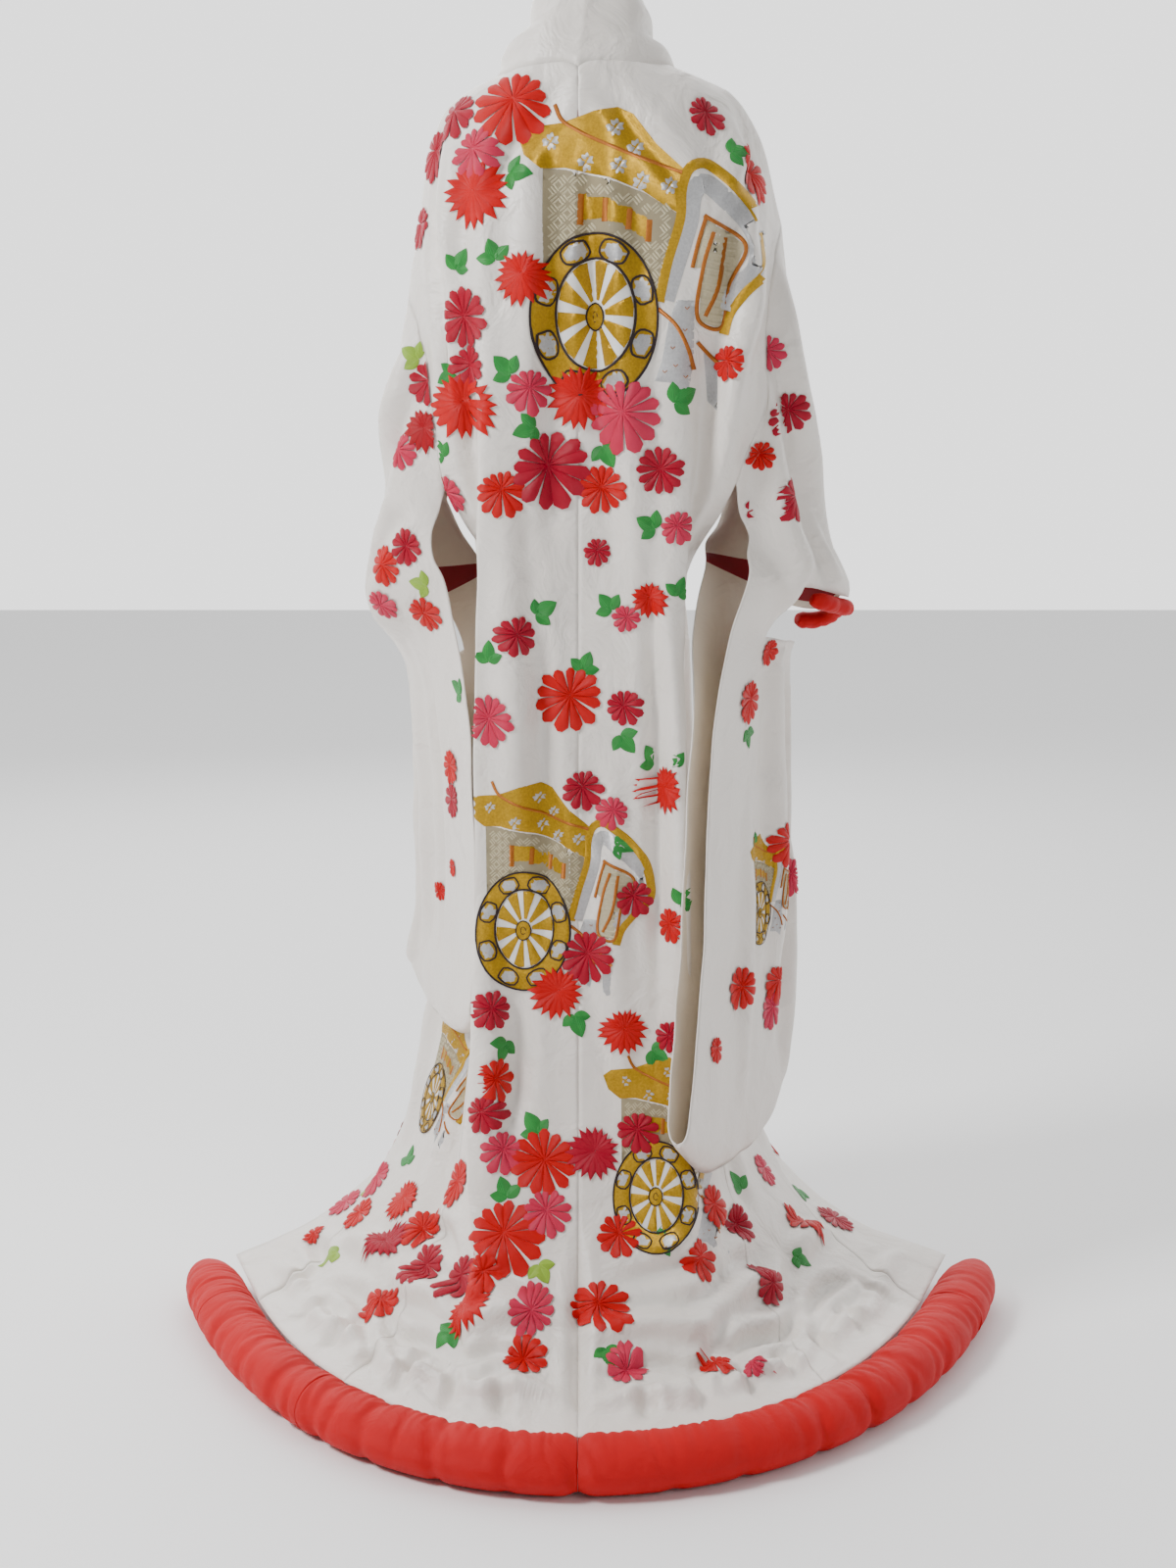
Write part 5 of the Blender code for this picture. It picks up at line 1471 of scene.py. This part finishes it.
# The same kinds of motif on the sides that face forward, as seen from the front.
FRONT_CARTS = ((14.0, 55.0, 0.62), (-17.0, 55.0, 0.60))
FRONT_FLOWERS = (
    (18.5, 108.0, 2.4, "round", "red"), (-15.5, 114.0, 2.2, "round", "pink"),
    (16.5, 62.0, 2.6, "spiky", "red"), (-20.5, 58.0, 2.4, "round", "rose"),
    (9.5, 62.0, 2.4, "round", "red"), (-9.5, 60.0, 2.4, "round", "red"), (11.5, 47.0, 2.4, "round", "rose"),
    (-12.5, 46.0, 2.4, "round", "pink"), (9.0, 34.0, 2.4, "round", "rose"),
    (12.0, 128.0, 3.0, "round", "red"), (16.0, 118.0, 2.6, "round", "rose"),
    (10.5, 112.0, 2.6, "spiky", "red"), (15.5, 104.0, 2.4, "round", "pink"),
    (19.0, 96.0, 2.6, "round", "red"), (13.0, 94.0, 2.4, "round", "rose"),
    (-12.5, 127.0, 2.8, "round", "rose"), (-18.0, 119.0, 2.8, "spiky", "red"),
    (-12.0, 110.0, 2.6, "round", "red"), (-19.0, 105.0, 2.4, "round", "pink"),
    (-22.0, 96.0, 2.6, "round", "rose"), (-14.0, 92.0, 2.4, "round", "red"),
    (5.0, 84.0, 2.4, "round", "red"), (-5.0, 80.0, 2.6, "round", "pink"), (6.5, 70.0, 3.0, "spiky", "red"),
    (-6.0, 66.0, 2.6, "round", "rose"), (16.0, 44.0, 2.8, "round", "red"),
    (12.0, 38.0, 2.4, "round", "pink"), (-16.0, 42.0, 2.8, "spiky", "red"),
    (-20.0, 36.0, 2.6, "round", "red"), (-12.0, 34.0, 2.4, "round", "rose"),
    (15.0, 72.0, 2.6, "round", "rose"), (-19.0, 74.0, 2.6, "round", "red"),
    (-14.0, 68.0, 2.4, "round", "pink"), (8.0, 54.0, 2.6, "round", "pink"),
    (-8.0, 50.0, 2.8, "round", "red"), (10.0, 26.0, 3.4, "round", "red"),
    (16.0, 22.0, 2.6, "spiky", "rose"), (-11.0, 24.0, 3.2, "round", "red"),
    (-17.0, 20.0, 2.8, "round", "pink"), (22.0, 14.0, 3.0, "round", "red"),
    (-23.0, 13.0, 3.0, "spiky", "red"), (28.0, 9.0, 2.4, "round", "pink"),
    (-30.0, 9.0, 2.6, "round", "rose"), (14.0, 12.0, 2.6, "round", "rose"),
    (-15.0, 11.0, 2.6, "round", "red"),
)
FRONT_LEAVES = (
    (18.5, 112.0, 2.2, -70, "leaf"), (-21.0, 100.0, 2.2, 40, "leaf"), (17.0, 66.0, 2.4, 10, "leaf"),
    (-21.0, 62.0, 2.4, -50, "leaf"), (8.5, 46.0, 2.4, 60, "leaf"), (-9.0, 42.0, 2.4, -30, "lime"),
    (9.0, 124.0, 2.4, 60, "leaf"), (14.0, 110.0, 2.4, -40, "leaf"), (16.0, 92.0, 2.2, 20, "lime"),
    (-15.0, 122.0, 2.4, 100, "leaf"), (-16.0, 108.0, 2.4, 0, "leaf"), (-18.0, 92.0, 2.2, -60, "leaf"),
    (4.0, 75.0, 2.4, 150, "leaf"), (-8.0, 74.0, 2.4, 40, "leaf"), (15.0, 38.0, 2.4, 120, "leaf"),
    (-14.0, 38.0, 2.4, -20, "leaf"), (6.0, 60.0, 2.4, -90, "leaf"), (-11.0, 58.0, 2.4, 30, "lime"),
    (13.0, 29.0, 2.4, -30, "leaf"), (-15.0, 27.0, 2.4, 60, "leaf"), (19.0, 17.0, 2.4, 10, "leaf"),
    (-20.0, 17.0, 2.4, -10, "leaf"), (25.0, 12.0, 2.2, 80, "lime"), (-26.0, 11.0, 2.2, 120, "leaf"),
)
# Motifs that overlap lie in layers, carts lowest: how far each kind stands off the cloth, in centimetres.
CART_LIFT = 0.02
LEAF_LIFT = 0.05
LEAF_LAYER = 0.012
FLOWER_LIFT = 0.13
FLOWER_LAYER = 0.025
for view, plane, carts, leaves, flowers in (
    (BACK_VIEW, PLANE_AWAY, CARTS, LEAVES, FLOWERS),
    (FRONT_VIEW, -PLANE_AWAY, FRONT_CARTS, FRONT_LEAVES, FRONT_FLOWERS),
):
    for x, height, scale in carts:
        spot = spot_on_cloth(x, height, view, plane)
        if spot:
            cart(spot, scale, CART_LIFT)
    for k, (x, height, size, heading, shade) in enumerate(leaves):
        spot = spot_on_cloth(x, height, view, plane)
        if spot:
            leaf(spot, size, shade, math.radians(heading), LEAF_LIFT + LEAF_LAYER * (k % 3), k)
    for k, (x, height, radius, kind, colour) in enumerate(flowers):
        spot = spot_on_cloth(x, height, view, plane)
        if spot:
            flower(spot, radius, kind, colour, FLOWER_LIFT + FLOWER_LAYER * (k % 4), k)

# Thread: two shades of each, its roughness, how metallic it is, and the slot it belongs to. On metal thread
# the two shades lie far apart and are mixed in fine patches as painted glints.
THREADS = {
    "red": ((0.60, 0.0, 0.001), (0.46, 0.0, 0.001), 0.42, 0.0, "red_thread"),
    "rose": ((0.42, 0.001, 0.024), (0.30, 0.0, 0.014), 0.42, 0.0, "rose_thread"),
    "pink": ((0.62, 0.030, 0.085), (0.48, 0.015, 0.05), 0.42, 0.0, "pink_thread"),
    "wine": ((0.40, 0.003, 0.010), (0.30, 0.002, 0.008), 0.42, 0.0, "red_thread"),
    "leaf": ((0.035, 0.30, 0.05), (0.012, 0.16, 0.03), 0.42, 0.0, "leaf_thread"),
    "lime": ((0.32, 0.50, 0.05), (0.20, 0.36, 0.03), 0.42, 0.0, "leaf_thread"),
    "gold": ((0.66, 0.40, 0.02), (0.26, 0.13, 0.006), 0.34, 0.55, "gold_thread"),
    "silver": ((0.62, 0.62, 0.62), (0.36, 0.36, 0.37), 0.34, 0.5, "silver_thread"),
    "straw": ((0.34, 0.29, 0.18), (0.28, 0.23, 0.14), 0.5, 0.0, "silver_thread"),
    "beige": ((0.58, 0.52, 0.36), (0.42, 0.36, 0.22), 0.40, 0.2, "silver_thread"),
    "copper": ((0.50, 0.17, 0.03), (0.30, 0.09, 0.015), 0.36, 0.5, "brown_thread"),
    "white": ((0.88, 0.87, 0.85), (0.80, 0.79, 0.76), 0.40, 0.0, "silver_thread"),
    "dark": ((0.03, 0.018, 0.018), (0.02, 0.012, 0.012), 0.5, 0.0, "brown_thread"),
}
thread_materials = {}
# Metal thread takes fine patches of its bright and its dark shade, which are painted glints; other thread
# takes broader patches of its two shades.
for name, (colour, shade, roughness, metallic, _) in THREADS.items():
    thread_materials[name] = cloth_material(
        name + "_thread", colour, shade, roughness, ribs=420, slant=0.0, bump=0.6, sheen=0.15,
        metallic=metallic, tone_and_glint_scale=420.0 if metallic else 60.0, specular=0.25)
for (group, colour), (vertices, measures, polygons) in threads.items():
    piece = mesh_object(f"embroidery_{colour}_{group}", vertices, polygons, measures)
    mesh = bmesh.new()
    mesh.from_mesh(piece.data)
    bmesh.ops.delete(mesh, geom=[v for v in mesh.verts if not v.link_faces], context="VERTS")
    for face in mesh.faces:
        middle = face.calc_center_median()
        on_cloth = cover[group].find_nearest(middle)[0]
        if (middle - on_cloth).dot(face.normal) < 0:
            face.normal_flip()
    mesh.to_mesh(piece.data)
    mesh.free()
    piece.data.materials.append(thread_materials[colour])
    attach(piece, "root")
